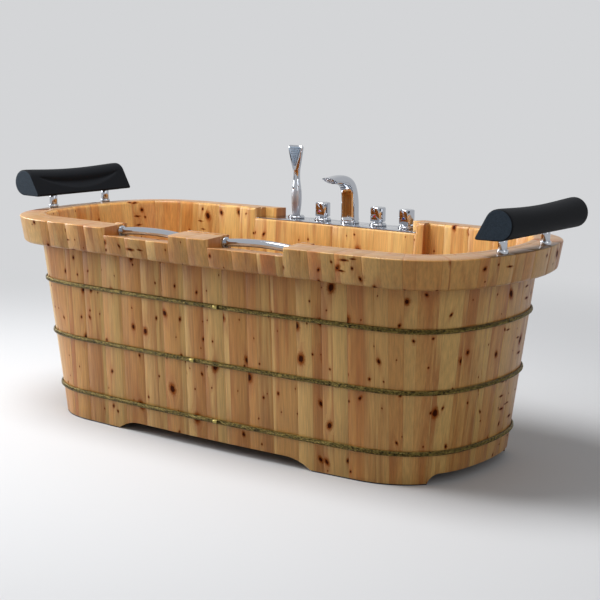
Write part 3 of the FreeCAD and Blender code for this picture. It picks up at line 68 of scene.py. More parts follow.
class TubSizes(bpy.types.PropertyGroup):
    """The tub's plan and its hoops, in metres."""
    foot_half_length: bpy.props.FloatProperty(
        name="Foot half length", description="Half length of the staves' outside at the floor",
        default=0.676, unit="LENGTH")
    foot_half_width: bpy.props.FloatProperty(
        name="Foot half width", description="Half width of the staves' outside at the floor",
        default=0.288, unit="LENGTH")
    foot_corner: bpy.props.FloatProperty(
        name="Foot corner", description="Corner radius of the staves' outside at the floor",
        default=0.203, unit="LENGTH")
    shoulder_half_length: bpy.props.FloatProperty(
        name="Shoulder half length", description="Half length of the staves' outside under the rim",
        default=0.735, unit="LENGTH")
    shoulder_half_width: bpy.props.FloatProperty(
        name="Shoulder half width", description="Half width of the staves' outside under the rim",
        default=0.314, unit="LENGTH")
    shoulder_corner: bpy.props.FloatProperty(
        name="Shoulder corner", description="Corner radius of the staves' outside under the rim",
        default=0.151, unit="LENGTH")
    shoulder_z: bpy.props.FloatProperty(
        name="Shoulder height", description="Height of the rim's underside",
        default=0.501, unit="LENGTH")
    side_arc: bpy.props.FloatProperty(
        name="Side arc", description="Radius of the long sides in plan", default=7.935, unit="LENGTH")
    end_arc: bpy.props.FloatProperty(
        name="End arc", description="Radius of the ends in plan", default=0.595, unit="LENGTH")
    hoop_height: bpy.props.FloatProperty(
        name="Hoop height", description="Height of a hoop's flattened rope",
        default=0.0126, unit="LENGTH")
    hoop_depth: bpy.props.FloatProperty(
        name="Hoop depth", description="How far a hoop stands off the staves",
        default=0.0076, unit="LENGTH")
    hoop_strand: bpy.props.FloatProperty(
        name="Hoop strand", description="Diameter of one strand", default=0.0036, unit="LENGTH")
    hoop_lay: bpy.props.FloatProperty(
        name="Hoop lay", description="Length in which a strand goes once round the rope",
        default=0.052, unit="LENGTH")
    hoop_strands: bpy.props.IntProperty(
        name="Hoop strands", description="Strands laid into a hoop", default=6, min=3, max=9)
    board_edge: bpy.props.FloatProperty(
        name="Board edge", description="Width of the softened edges of every board",
        default=0.0005, unit="LENGTH")


class PillowSizes(bpy.types.PropertyGroup):
    """A head pillow's section and length, in metres."""
    half_length: bpy.props.FloatProperty(
        name="Half length", description="Half length of a pillow", default=0.195, unit="LENGTH")
    back_radius: bpy.props.FloatProperty(
        name="Back radius", description="Radius of the round back", default=0.038, unit="LENGTH")
    back_x: bpy.props.FloatProperty(
        name="Back", description="Axis of the round back, from the tub's middle",
        default=0.802, unit="LENGTH")
    back_z: bpy.props.FloatProperty(
        name="Back height", description="Height of that axis", default=0.655, unit="LENGTH")
    tip_x: bpy.props.FloatProperty(
        name="Tip", description="Centre of the tip's rounding, from the tub's middle",
        default=0.744, unit="LENGTH")
    tip_z: bpy.props.FloatProperty(
        name="Tip height", description="Height of that centre", default=0.6205, unit="LENGTH")
    tip_radius: bpy.props.FloatProperty(
        name="Tip radius", description="Rounding of the tip", default=0.004, unit="LENGTH")
    cap_round: bpy.props.FloatProperty(
        name="Cap rounding", description="Rounding between the skin and the end caps",
        default=0.0035, unit="LENGTH")
    saddle: bpy.props.FloatProperty(
        name="Saddle", description="How far the top dips at the middle", default=0.005, unit="LENGTH")
    hollow: bpy.props.FloatProperty(
        name="Neck hollow", description="Depth of the hollow in the slanted face",
        default=0.0105, unit="LENGTH")


class Colours(bpy.types.PropertyGroup):
    """The colours that a user would change, as sRGB hex values."""
    pale_wood: bpy.props.StringProperty(
        name="Pale boards", description="Sapwood", default="E8BD72")
    honey_wood: bpy.props.StringProperty(
        name="Honey boards", description="Common boards", default="D0873C")
    heart_wood: bpy.props.StringProperty(
        name="Heart streaks", description="Orange heartwood", default="AC5A1C")
    end_grain: bpy.props.StringProperty(
        name="End grain", description="Sawn tops of the boards", default="9E7852")
    knot: bpy.props.StringProperty(
        name="Knots", description="Heart of a knot", default="381304")
    knot_halo: bpy.props.StringProperty(
        name="Knot halo", description="Resin round a knot", default="94420F")
    rope_gold: bpy.props.StringProperty(
        name="Rope", description="Brassed wire", default="80703F")
    foam: bpy.props.StringProperty(
        name="Pillow skin", description="Moulded foam skin", default="0C0E12")
    floor: bpy.props.StringProperty(
        name="Floor", description="Studio floor", default="D4D5D7")


def settings(name):
    """One of the scene's groups of settings."""
    return getattr(bpy.context.scene, name)


def linear(hex_value, alpha=1.0):
    """An sRGB hex colour as linear red, green, blue and alpha."""
    values = [int(hex_value[i:i + 2], 16) / 255 for i in (0, 2, 4)]
    return [v / 12.92 if v <= 0.04045 else ((v + 0.055) / 1.055) ** 2.4 for v in values] + [alpha]


def feed(tree, socket, value):
    """Links another node's output to a socket, or gives the socket a plain value."""
    if isinstance(value, bpy.types.NodeSocket):
        tree.links.new(value, socket)
    else:
        socket.default_value = value


def add(tree, kind, inputs=None, **values):
    """Adds a shader node with its settings; each input is a value or another node's output."""
    node = tree.nodes.new("ShaderNode" + kind)
    for name, value in values.items():
        setattr(node, name, value)
    for key, value in (inputs or {}).items():
        feed(tree, node.inputs[key], value)
    return node


def maths(tree, operation, *values):
    """The result of a sum with one to three numbers."""
    return add(tree, "Math", dict(enumerate(values)), operation=operation).outputs[0]


def vectors(tree, operation, first, second):
    """The result of a sum with two vectors."""
    return add(tree, "VectorMath", {0: first, 1: second}, operation=operation).outputs[0]


def distance(tree, vector):
    """The length of a vector."""
    return add(tree, "VectorMath", {0: vector}, operation="LENGTH").outputs["Value"]


def ramp(tree, value, start=0.0, stop=1.0, low=0.0, high=1.0, smooth=False):
    """Goes from low to high while the value goes from start to stop, and stays level outside."""
    return add(tree, "MapRange", {0: value, 1: start, 2: stop, 3: low, 4: high},
               interpolation_type="SMOOTHSTEP" if smooth else "LINEAR").outputs[0]


def mix(tree, share, under, over, blend="MIX"):
    """Lays one colour over another by a share."""
    return add(tree, "Mix", {0: share, 6: under, 7: over}, data_type="RGBA",
               blend_type=blend).outputs[2]


def noise(tree, place, scale, detail, **more):
    """Cloudy noise between 0 and 1."""
    inputs = {"Vector": place, "Scale": scale, "Detail": detail, **more}
    return add(tree, "TexNoise", inputs).outputs["Fac"]


def bumped(tree, strength, depth, height):
    """The surface's direction with a relief."""
    return add(tree, "Bump", {"Strength": strength, "Distance": depth, "Height": height}).outputs[0]


def material(name):
    """A new material with its Principled shader."""
    new = bpy.data.materials.new(name)
    new.use_nodes = True
    return new, new.node_tree, new.node_tree.nodes["Principled BSDF"]


def shade(tree, shader, **inputs):
    """Feeds the shader's own sockets, named in lower case with underscores."""
    for key, value in inputs.items():
        feed(tree, shader.inputs[key.replace("_", " ").title().replace("Ior", "IOR")], value)


# Kinds of knot: the cell across and along the board that holds one knot at most, in metres, the share
# of cells with a knot, the smallest and largest radius in millimetres, the squeeze across and along
# the board, the lean, and the share of boards that have them. The last are spike knots, which the saw
# cut lengthways.
KNOT_KINDS = (
    {"cell": (0.080, 0.110), "share": 0.52, "radii": (2.6, 7.6), "squeeze": (1.0, 0.78), "lean": 0.4,
     "boards": 1.0},
    {"cell": (0.050, 0.066), "share": 0.44, "radii": (1.2, 2.9), "squeeze": (1.0, 0.90), "lean": 0.2,
     "boards": 1.0},
    {"cell": (0.060, 0.034), "share": 0.52, "radii": (1.6, 3.0), "squeeze": (0.30, 1.1), "lean": 0.9,
     "boards": 0.13},
)
# How far the grain of the next board is from this one's, for a random number between 0 and 1
BOARD_SHIFT = (17.3, 5.1, 11.7)
# Boards are glued up from strips of about this width, and the grain of the next strip is this far away
STRIP_WIDTH, STRIP_SHIFT = 0.044, (0.9, 0.4, 3.0)
# Grain figure and grain lines to a metre, across, into and along the board
BROAD_GRAIN, FINE_GRAIN = (30, 30, 1.3), (260, 260, 2.6)


def strewn_knots(tree, place, board, cell, share, radii, squeeze, lean, boards):
    """Knots of one kind. Gives the distance from the knot's heart in radii, 1 where there is a knot,
    the distances from it across and along the board, and its radius."""
    parts = add(tree, "SeparateXYZ", {0: place})
    flat = add(tree, "CombineXYZ", {0: maths(tree, "DIVIDE", parts.outputs[0], cell[0]),
                                    1: maths(tree, "DIVIDE", parts.outputs[2], cell[1])}).outputs[0]
    cells = add(tree, "TexVoronoi", {"Vector": flat, "Scale": 1.0, "Randomness": 0.85},
                voronoi_dimensions="2D")
    away = vectors(tree, "SUBTRACT", flat, cells.outputs["Position"])
    step = add(tree, "SeparateXYZ", {0: vectors(tree, "MULTIPLY", away, (*cell, 0))})
    along = step.outputs[1]
    chance = add(tree, "SeparateColor", {0: cells.outputs["Color"]})
    least, most = radii
    squared = maths(tree, "POWER", chance.outputs[0], 2.0)
    radius = maths(tree, "MULTIPLY_ADD", squared, (most - least) * MM, least * MM)
    present = maths(tree, "MULTIPLY", maths(tree, "LESS_THAN", chance.outputs[1], share),
                    maths(tree, "LESS_THAN", board, boards))
    slope = ramp(tree, chance.outputs[2], low=-lean, high=lean)
    across = maths(tree, "MULTIPLY_ADD", along, slope, step.outputs[0])
    oval = add(tree, "CombineXYZ", {0: maths(tree, "MULTIPLY", across, squeeze[0]),
                                    1: maths(tree, "MULTIPLY", along, squeeze[1])}).outputs[0]
    ragged = ramp(tree, noise(tree, place, 260.0, 2.0), low=0.6, high=1.4)
    ratio = maths(tree, "MULTIPLY", maths(tree, "DIVIDE", distance(tree, oval), radius), ragged)
    return ratio, present, across, along, radius


def board_colour(tree, bent, strip, fine, tone):
    """Colour of the long grain: every strip has its own tone between the pale wood and honey, and its
    own share of heartwood. Also gives the broad figure of the grain."""
    c = settings("tub_colours")
    dice = add(tree, "SeparateColor", {0: strip})
    broad = noise(tree, vectors(tree, "MULTIPLY", bent, BROAD_GRAIN), 1.0, 3.0,
                  Roughness=0.55, Distortion=0.4)
    share = ramp(tree, dice.outputs[0], low=0.1 + tone, high=0.76 + tone)
    colour = mix(tree, share, linear(c.pale_wood), linear(c.honey_wood))
    least = ramp(tree, dice.outputs[1], low=0.32, high=0.57)
    heart = ramp(tree, broad, least, maths(tree, "ADD", least, 0.3), 0.0, 0.65, smooth=True)
    colour = mix(tree, heart, colour, linear(c.heart_wood))
    lines = ramp(tree, fine, 0.28, 0.72, 0.78, 1.12)
    return mix(tree, 1.0, colour, lines, "MULTIPLY"), broad


def with_end_grain(tree, colour, place, sawn_tops):
    """Lays end grain over the level tops: arcs of the growth rings, pinker and mottled."""
    rings = add(tree, "TexWave", {
        "Vector": vectors(tree, "MULTIPLY", place, (1, 1, 0.02)),
        "Scale": 95.0, "Distortion": 6.0, "Detail": 2.0, "Detail Scale": 0.6},
        wave_type="RINGS", rings_direction="Z").outputs["Fac"]
    sawn = maths(tree, "MULTIPLY_ADD", rings, 0.35, noise(tree, place, 60.0, 4.0))
    sawn = ramp(tree, sawn, 0.3, 0.95, 0.78, 1.16)
    end = mix(tree, 1.0, linear(settings("tub_colours").end_grain), sawn, "MULTIPLY")
    upward = add(tree, "SeparateXYZ", {0: add(tree, "NewGeometry").outputs["Normal"]}).outputs[2]
    level = maths(tree, "MULTIPLY", ramp(tree, upward, 0.72, 0.92), sawn_tops)
    return mix(tree, level, colour, end)


def with_knots(tree, colour, knots):
    """Lays each kind of knot over the wood: resin trails along the grain, halos and dark hearts.
    Also gives how far a place is in a heart and in a halo."""
    c = settings("tub_colours")
    hearts, halos = 0.0, 0.0
    for ratio, present, across, along, radius in knots:
        side = maths(tree, "ABSOLUTE", maths(tree, "DIVIDE", across, radius))
        tail = maths(tree, "ABSOLUTE", maths(tree, "DIVIDE", along, radius))
        trail = maths(tree, "MULTIPLY", ramp(tree, side, 2.4, 0.2),
                      ramp(tree, tail, 11.0, 1.0, 0.0, 0.55))
        halo = ramp(tree, ratio, 2.5, 0.9, 0.0, 0.85, smooth=True)
        heart = ramp(tree, ratio, 1.15, 0.7, 0.0, 0.97, smooth=True)
        trail, halo, heart = (maths(tree, "MULTIPLY", value, present) for value in (trail, halo, heart))
        for value, hex_value in ((trail, c.heart_wood), (halo, c.knot_halo), (heart, c.knot)):
            colour = mix(tree, value, colour, linear(hex_value))
        hearts = maths(tree, "MAXIMUM", hearts, heart)
        halos = maths(tree, "MAXIMUM", halos, halo)
    return colour, hearts, halos


def with_glue_lines(tree, colour, strip_edge):
    """Draws the joints between boards, and more faintly those between strips."""
    across = add(tree, "SeparateXYZ", {0: add(tree, "UVMap", uv_map="boards").outputs[0]}).outputs[0]
    from_middle = maths(tree, "ABSOLUTE", maths(tree, "SUBTRACT", across, 0.5))
    glue = ramp(tree, from_middle, 0.488, 0.5, 0.0, 0.5)
    seam = ramp(tree, strip_edge, 0.018, 0.003, 0.0, 0.3)
    line = maths(tree, "MAXIMUM", glue, seam)
    return mix(tree, line, colour, linear(settings("tub_colours").knot_halo))


def softwood(name, tone=0.0, sawn_tops=0.8):
    """Knotty fir under satin varnish, planed and glued: pale boards with orange heart streaks,
    brown knots in a resin halo, and a pinker, mottled end grain. Reads each board's own
    grain coordinates (across, into and along the board, in metres) and its random number."""
    new, tree, shader = material(name)
    grain = add(tree, "Attribute", attribute_name="grain").outputs["Vector"]
    board = add(tree, "Attribute", attribute_name="board").outputs["Fac"]
    shift = add(tree, "VectorMath", {0: BOARD_SHIFT, "Scale": board}, operation="SCALE").outputs[0]
    place = vectors(tree, "ADD", grain, shift)
    knots = [strewn_knots(tree, place, board, **kind) for kind in KNOT_KINDS]

    across = add(tree, "SeparateXYZ", {0: place}).outputs[0]
    row = {"W": maths(tree, "DIVIDE", across, STRIP_WIDTH), "Scale": 1.0, "Randomness": 0.55}
    strip = add(tree, "TexVoronoi", row, voronoi_dimensions="1D").outputs["Color"]
    strip_edge = add(tree, "TexVoronoi", row, voronoi_dimensions="1D",
                     feature="DISTANCE_TO_EDGE").outputs["Distance"]

    # The grain bends round the larger knots and doesn't run on from strip to strip
    ratio, present, knot_across = knots[0][:3]
    near = maths(tree, "MULTIPLY", ramp(tree, ratio, 5.0, 0.6, smooth=True), present)
    push = maths(tree, "MULTIPLY", maths(tree, "MULTIPLY", knot_across, near), -0.7)
    bent = vectors(tree, "ADD", place, add(tree, "CombineXYZ", {0: push}).outputs[0])
    bent = vectors(tree, "ADD", bent, vectors(tree, "MULTIPLY", strip, STRIP_SHIFT))
    fine = noise(tree, vectors(tree, "MULTIPLY", bent, FINE_GRAIN), 1.0, 3.0, Roughness=0.6)

    colour, broad = board_colour(tree, bent, strip, fine, tone)
    colour = with_end_grain(tree, colour, place, sawn_tops)
    colour, hearts, halos = with_knots(tree, colour, knots)
    colour = with_glue_lines(tree, colour, strip_edge)

    # Knots and their halos soak up the varnish, so they shine less
    gloss = maths(tree, "MULTIPLY_ADD", hearts, 0.3, ramp(tree, broad, low=0.30, high=0.44))
    shade(tree, shader, base_color=colour, roughness=gloss, ior=1.5, coat_roughness=0.16,
          normal=bumped(tree, 0.12, 0.6 * MM, maths(tree, "MULTIPLY_ADD", hearts, -0.8, fine)),
          specular_ior_level=ramp(tree, halos, 0.0, 0.8, 0.42, 0.04),
          coat_weight=ramp(tree, halos, 0.0, 0.8, 0.08, 0.0))
    return new


def rope_metal():
    """Brassed steel wire, drawn and laid into a rope: olive gold, tarnished in patches."""
    new, tree, shader = material("brassed_wire_rope")
    place = add(tree, "TexCoord").outputs["Object"]
    tarnish = ramp(tree, noise(tree, place, 160.0, 5.0), 0.36, 0.64)
    colour = mix(tree, tarnish, linear(settings("tub_colours").rope_gold), linear("2C2514"))
    scratch = noise(tree, place, 900.0, 2.0)
    shade(tree, shader, base_color=colour, metallic=1.0,
          roughness=ramp(tree, scratch, low=0.26, high=0.42),
          normal=bumped(tree, 0.2, 0.2 * MM, scratch))
    return new


def polished_chrome():
    """Chrome plate over brass, buffed: a mirror with a faint wipe haze."""
    new, tree, shader = material("polished_chrome")
    haze = noise(tree, add(tree, "TexCoord").outputs["Object"], 30.0, 3.0)
    shade(tree, shader, base_color=linear("C0C3C9"), metallic=1.0,
          roughness=ramp(tree, haze, low=0.045, high=0.10))
    return new


def brushed_metal(name, hex_value, rough, stretch):
    """Turned or brushed metal: fine lines along one way that spread the highlight."""
    new, tree, shader = material(name)
    place = add(tree, "TexCoord").outputs["Object"]
    brush = noise(tree, vectors(tree, "MULTIPLY", place, stretch), 1.0, 3.0)
    shade(tree, shader, base_color=linear(hex_value), metallic=1.0,
          roughness=ramp(tree, brush, low=rough - 0.06, high=rough + 0.08),
          normal=bumped(tree, 0.12, 0.1 * MM, brush))
    return new


def foam_skin(name, hex_value, grit, relief):
    """Polyurethane foam with a moulded skin and a leather-like grain. The real grain is under half
    a millimetre and is drawn coarser, so that it shows."""
    new, tree, shader = material(name)
    place = add(tree, "TexCoord").outputs["Object"]
    cells = add(tree, "TexVoronoi", {"Vector": place, "Scale": 1 / grit, "Randomness": 1.0})
    skin = maths(tree, "MULTIPLY_ADD", cells.outputs["Distance"], 0.6,
                 noise(tree, place, 0.5 / grit, 3.0))
    tint = ramp(tree, skin, 0.3, 1.0, 0.75, 1.35)
    shade(tree, shader, base_color=mix(tree, 1.0, linear(hex_value), tint, "MULTIPLY"),
          roughness=ramp(tree, skin, low=0.48, high=0.64), normal=bumped(tree, relief, 0.6 * MM, skin),
          ior=1.5, specular_ior_level=0.1)
    return new


def moulded(name, hex_value, rough):
    """Moulded rubber, plastic or enamel with a fine cloud in its colour and gloss."""
    new, tree, shader = material(name)
    cloud = noise(tree, add(tree, "TexCoord").outputs["Object"], 250.0, 2.0)
    tint = ramp(tree, cloud, low=0.88, high=1.12)
    shade(tree, shader, base_color=mix(tree, 1.0, linear(hex_value), tint, "MULTIPLY"),
          roughness=ramp(tree, cloud, low=rough - 0.05, high=rough + 0.05))
    return new


# Plan of the tub

def plan(z):
    """Half length, half width and the three radii of the staves' outside at a height."""
    s = settings("tub_sizes")
    up = z / s.shoulder_z
    return (s.foot_half_length + (s.shoulder_half_length - s.foot_half_length) * up,
            s.foot_half_width + (s.shoulder_half_width - s.foot_half_width) * up,
            s.side_arc, s.end_arc, s.foot_corner + (s.shoulder_corner - s.foot_corner) * up)


def walk_round(shape, step):
    """Points, outward directions and distances along the oval of eight arcs, and its length. It goes
    from the middle of the right end over the rear."""
    long, wide, side, end, corner = shape
    side_y, end_x = wide - side, long - end
    gap = Vector((end_x, -side_y))
    from_side, from_end = side - corner, end - corner
    along = (from_side ** 2 - from_end ** 2 + gap.length_squared) / (2 * gap.length)
    across = math.sqrt(from_side ** 2 - along ** 2)
    unit = gap.normalized()
    centre = Vector((0, side_y)) + unit * along + Vector((unit.y, -unit.x)) * across
    at_side = math.atan2(centre.y - side_y, centre.x)
    at_end = math.atan2(centre.y, centre.x - end_x)
    arcs = [(Vector((end_x, 0)), end, 0.0, at_end), (centre, corner, at_end, at_side),
            (Vector((0, side_y)), side, at_side, math.pi / 2)]
    stations, travelled = [], 0.0
    for quarter in range(4):
        flip = quarter % 2
        mirror = (1 if quarter in (0, 3) else -1, 1 if quarter < 2 else -1)
        for middle, radius, first, last in (arcs[::-1] if flip else arcs):
            length = radius * (last - first)
            count = max(2, math.ceil(length / step))
            for i in range(count):
                share = i / count
                angle = last - (last - first) * share if flip else first + (last - first) * share
                out = Vector((math.cos(angle), math.sin(angle)))
                spot = middle + out * radius
                stations.append((Vector((spot.x * mirror[0], spot.y * mirror[1])),
                                 Vector((out.x * mirror[0], out.y * mirror[1])),
                                 travelled + length * share))
            travelled += length
    return stations, travelled


class Girth:
    """Distance round the tub and depth from its mid-height outline, for any point of its walls."""
    STEP = 0.8 * MM

    def __init__(self):
        self.stations, self.length = walk_round(plan(settings("tub_sizes").shoulder_z / 2), self.STEP)
        self.tree = KDTree(len(self.stations))
        for index, (spot, out, travelled) in enumerate(self.stations):
            self.tree.insert((spot.x, spot.y, 0.0), index)
        self.tree.balance()

    def lay(self, point, start):
        """Distance round the tub with that start added, depth and height of a point."""
        spot, out, travelled = self.nearest(point)
        offset = Vector((point[0], point[1])) - spot
        travelled += offset.dot(Vector((-out.y, out.x)))
        return Vector(((travelled + start) % self.length, offset.dot(out), point[2]))

    def tangent(self, point):
        """Direction round the tub at a point."""
        out = self.nearest(point)[1]
        return Vector((-out.y, out.x, 0))

    def nearest(self, point):
        """The station nearest to a point."""
        return self.stations[self.tree.find((point[0], point[1], 0.0))[1]]


# Boards, copied from the frame board by board so that each has its own grain

# Faces lie in a joint when they face along the row at least by this cosine; their areas are added up
# in bins of this width, and a joint has at least this area and this distance from the last one
JOINT_COSINE, JOINT_BIN, JOINT_AREA, JOINT_GAP = 0.995, 0.5 * MM, 600 * MM * MM, 4 * MM
# Vertices this near are one, in boards and in other pieces
BOARD_WELD, WELD = 2e-5, 1e-5
# Faces that differ by less than the first angle are merged, and edges over the second are softened
FLAT_ANGLE, SHARP_ANGLE = math.radians(0.2), math.radians(38)
# Edges over this angle keep their crease in the smooth shading
CREASE_ANGLE = math.radians(32)


def joints(faces, coordinate, tangent):
    """The places across a row of boards where one ends and the next begins."""
    sums = {}
    for face in faces:
        centre = face.calc_center_median()
        if abs(face.normal.dot(tangent(centre))) > JOINT_COSINE:
            key = round(coordinate(centre) / JOINT_BIN)
            sums[key] = sums.get(key, 0.0) + face.calc_area()
    stops = []
    for key in sorted(sums):
        area = sums[key] + sums.get(key - 1, 0.0) + sums.get(key + 1, 0.0)
        place = key * JOINT_BIN
        if area > JOINT_AREA and (not stops or place - stops[-1] > JOINT_GAP):
            stops.append(place)
    return stops


def soften(bm, width):
    """Merges flat triangles and rounds the sharp edges of a shell."""
    bmesh.ops.dissolve_limit(bm, angle_limit=FLAT_ANGLE, use_dissolve_boundaries=False,
                             verts=bm.verts, edges=bm.edges, delimit={"NORMAL"})
    sharp = [e for e in bm.edges if len(e.link_faces) == 2 and e.calc_face_angle(0) > SHARP_ANGLE]
    bmesh.ops.bevel(bm, geom=sharp, offset=width, offset_type="OFFSET", segments=2, profile=0.5,
                    affect="EDGES", clamp_overlap=True, material=-1)


def sorted_boards(node_name, coordinates, tangent):
    """The faces of a node, board by board along the row, as lists of corner points."""
    whole = bmesh.new()
    whole.from_mesh(frame["nodes"][node_name].data)
    stops = joints(whole.faces, lambda p: coordinates(p)[0], tangent)
    boards = {}
    for face in whole.faces:
        inside = face.calc_center_median() - face.normal * MM
        place = coordinates(inside)[0]
        corners = [v.co.copy() for v in face.verts]
        boards.setdefault(sum(stop < place for stop in stops), []).append(corners)
    whole.free()
    return [boards[key] for key in sorted(boards)]


def timber(node_name, coordinates, tangent, finish, seed):
    """Stands for a node of boards: each board is its own closed shell with its own grain."""
    dice = random.Random(seed)
    bm = bmesh.new()
    number = bm.verts.layers.float.new("board")
    grain = bm.verts.layers.float_vector.new("grain")
    uv = bm.loops.layers.uv.new("boards")
    for faces in sorted_boards(node_name, coordinates, tangent):
        board = bmesh.new()
        for corners in faces:
            board.faces.new([board.verts.new(corner) for corner in corners])
        bmesh.ops.remove_doubles(board, verts=board.verts, dist=BOARD_WELD)
        soften(board, settings("tub_sizes").board_edge)
        board.verts.index_update()
        lay = [coordinates(v.co) for v in board.verts]
        low, high = min(p[0] for p in lay), max(p[0] for p in lay)
        own_number = dice.random()
        added = []
        for vert, place in zip(board.verts, lay):
            new = bm.verts.new(vert.co)
            new[number] = own_number
            new[grain] = place
            added.append((new, (place[0] - low) / (high - low)))
        for face in board.faces:
            corners = [added[v.index] for v in face.verts]
            copied = bm.faces.new([new for new, share in corners])
            copied.smooth = True
            for loop, (new, share) in zip(copied.loops, corners):
                loop[uv].uv = (share, new.co.z)
        board.free()
    return place_piece(bm, f"{node_name}_timber", TUB, finish, [node_name])


def body_of_node(node_name):
    """The body that a node rides on."""
    bodies = frame["record"]["behaviour"]["bodies"]
    return next(body for body, nodes in bodies.items() if node_name in nodes)


def place_piece(bm, name, body, finish, nodes=()):
    """Turns a bmesh into a piece that rides on a body and may stand for CAD nodes."""
    mesh = bpy.data.meshes.new(name)
    bm.to_mesh(mesh)
    bm.free()
    mesh.set_sharp_from_angle(angle=CREASE_ANGLE)
    return adopt(bpy.data.objects.new(name, mesh), body, finish, nodes)


def adopt(piece, body, finish, nodes=()):
    """Puts a piece in the scene with its material and body, and hides the nodes it stands for."""
    bpy.context.scene.collection.objects.link(piece)
    piece.data.materials.append(finish)
    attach(piece, body)
    if nodes:
        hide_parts(*nodes)
    return piece


def dress(names, finish):
    """Gives hidden CAD nodes, whose shape is right, their material."""
    for name in names:
        node = frame["nodes"][name]
        node.data.materials.clear()
        node.data.materials.append(finish)


def polish(names, finish, edge=0.35 * MM):
    """Stands for nodes that show: the same shape with softened edges and smooth faces."""
    for name in names:
        bm = bmesh.new()
        bm.from_mesh(frame["nodes"][name].data)
        bmesh.ops.remove_doubles(bm, verts=bm.verts, dist=WELD)
        soften(bm, edge)
        for face in bm.faces:
            face.smooth = True
        place_piece(bm, f"{name}_finished", body_of_node(name), finish, [name])


class BATHTUB_OT_timber(bpy.types.Operator):
    """Makes the staves, rim boards, linings and floor with their grain"""
    bl_idname = "bathtub.timber"
    bl_label = "Staves, rim and floor"

    def execute(self, context):
        girth = Girth()
        staves = softwood("varnished_fir_staves")
        rim = softwood("varnished_fir_rim", 0.1)
        # The rear pieces get a paler copy of the stave wood: painted light that stands in for the
        # bright light on the rear inner wall
        sapwood = softwood("varnished_sapwood_staves", -0.35)
        for seed, name in enumerate(WALLS + RIMS + LININGS):
            finish = rim if name in RIMS else sapwood if "rear" in name else staves
            # The distance round the tub starts at the right end, so it is turned half way there
            start = girth.length / 2 if "right" in name else 0.0
            timber(name, lambda p, start=start: girth.lay(p, start), girth.tangent, finish, seed)
        level = softwood("varnished_fir_floor", sawn_tops=0.0)
        timber("floor_boards", lambda p: Vector((p[1], p[2], p[0])), lambda p: Vector((0, 1, 0)),
               level, 40)
        timber("floor_battens", lambda p: Vector((p[0], p[2], p[1])), lambda p: Vector((1, 0, 0)),
               level, 41)
        return {"FINISHED"}


# Stations along a hoop are this far apart, the wall is looked for from this far outside, and the rope
# keeps this clear of it
HOOP_STEP, HOOP_SEARCH, HOOP_CLEAR = 2.8 * MM, 50 * MM, 0.1 * MM


def wall_surface():
    """All the staves as one surface, to lay the hoops on."""
    bm = bmesh.new()
    for name in WALLS:
        bm.from_mesh(frame["nodes"][name].data)
    surface = BVHTree.FromBMesh(bm)
    bm.free()
    return surface


def wound_strands(name, surface):
    """Curves of a hoop's strands, which go round a middle line that follows the staves."""
    s = settings("tub_sizes")
    outward, upward = (s.hoop_depth - s.hoop_strand) / 2, (s.hoop_height - s.hoop_strand) / 2
    low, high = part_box(name)
    z = (low[2] + high[2]) / 2
    stations, length = walk_round(plan(z), HOOP_STEP)
    turns = round(length / s.hoop_lay)
    middles = []
    for spot, out, travelled in stations:
        start = Vector((spot.x + out.x * HOOP_SEARCH, spot.y + out.y * HOOP_SEARCH, z))
        hit = surface.ray_cast(start, Vector((-out.x, -out.y, 0)))[0]
        middles.append(hit.xy + out * (s.hoop_depth / 2 + HOOP_CLEAR))
    curve = bpy.data.curves.new(f"{name}_strands", "CURVE")
    curve.dimensions = "3D"
    curve.bevel_depth = s.hoop_strand / 2
    curve.bevel_resolution = 1
    for index in range(s.hoop_strands):
        spline = curve.splines.new("POLY")
        spline.points.add(len(stations) - 1)
        spline.use_cyclic_u = True
        for point, middle, (spot, out, travelled) in zip(spline.points, middles, stations):
            angle = 2 * math.pi * (turns * travelled / length + index / s.hoop_strands)
            reach = outward * math.cos(angle)
            point.co = (middle.x + out.x * reach, middle.y + out.y * reach,
                        z + upward * math.sin(angle), 1)
    return curve


def meshed(curve, name):
    """A curve's solid shape as a smooth mesh."""
    wound = bpy.data.objects.new(f"{name}_wound", curve)
    bpy.context.scene.collection.objects.link(wound)
    bpy.context.view_layer.update()
    shape = wound.evaluated_get(bpy.context.evaluated_depsgraph_get())
    mesh = bpy.data.meshes.new_from_object(shape)
    mesh.name = name
    bpy.data.objects.remove(wound)
    bpy.data.curves.remove(curve)
    for polygon in mesh.polygons:
        polygon.use_smooth = True
    return mesh


class BATHTUB_OT_hoops(bpy.types.Operator):
    """Lays the three wire rope hoops strand by strand"""
    bl_idname = "bathtub.hoops"
    bl_label = "Wire rope hoops"

    def execute(self, context):
        metal = rope_metal()
        surface = wall_surface()
        for name in HOOPS:
            piece_name = f"{name}_rope"
            mesh = meshed(wound_strands(name, surface), piece_name)
            adopt(bpy.data.objects.new(piece_name, mesh), TUB, metal, [name])
        polish(["hoop_ferrules"], brushed_metal("pressed_brass", "A09258", 0.36, (700, 700, 700)))
        return {"FINISHED"}


# Points round a pillow's section, rows of them from end to end, and the share of the rows that lie
# between the rounded edges of the caps
SECTION_POINTS, SECTION_ROWS, SKIN_ROWS = 72, 70, 0.86
# Distance of the skin's inner middle line from the axis of the round back, inwards and down
PILLOW_CORE = (0.012, 0.006)
# The hollow's lower edge on the slanted face, as a share of its width: at the middle, and how much
# higher it is at the ends; and where its upper edge is
HOLLOW_EDGE, HOLLOW_RISE, HOLLOW_TOP = 0.2, 0.78, 1.02
# How far the saddle and the hollow's lower edge reach along the pillow, as shares of its half length
SADDLE_REACH, EDGE_REACH = 0.93, 0.85
# A cap's flat face starts this far inside its rounded edge
CAP_INSET = 1.5 * MM


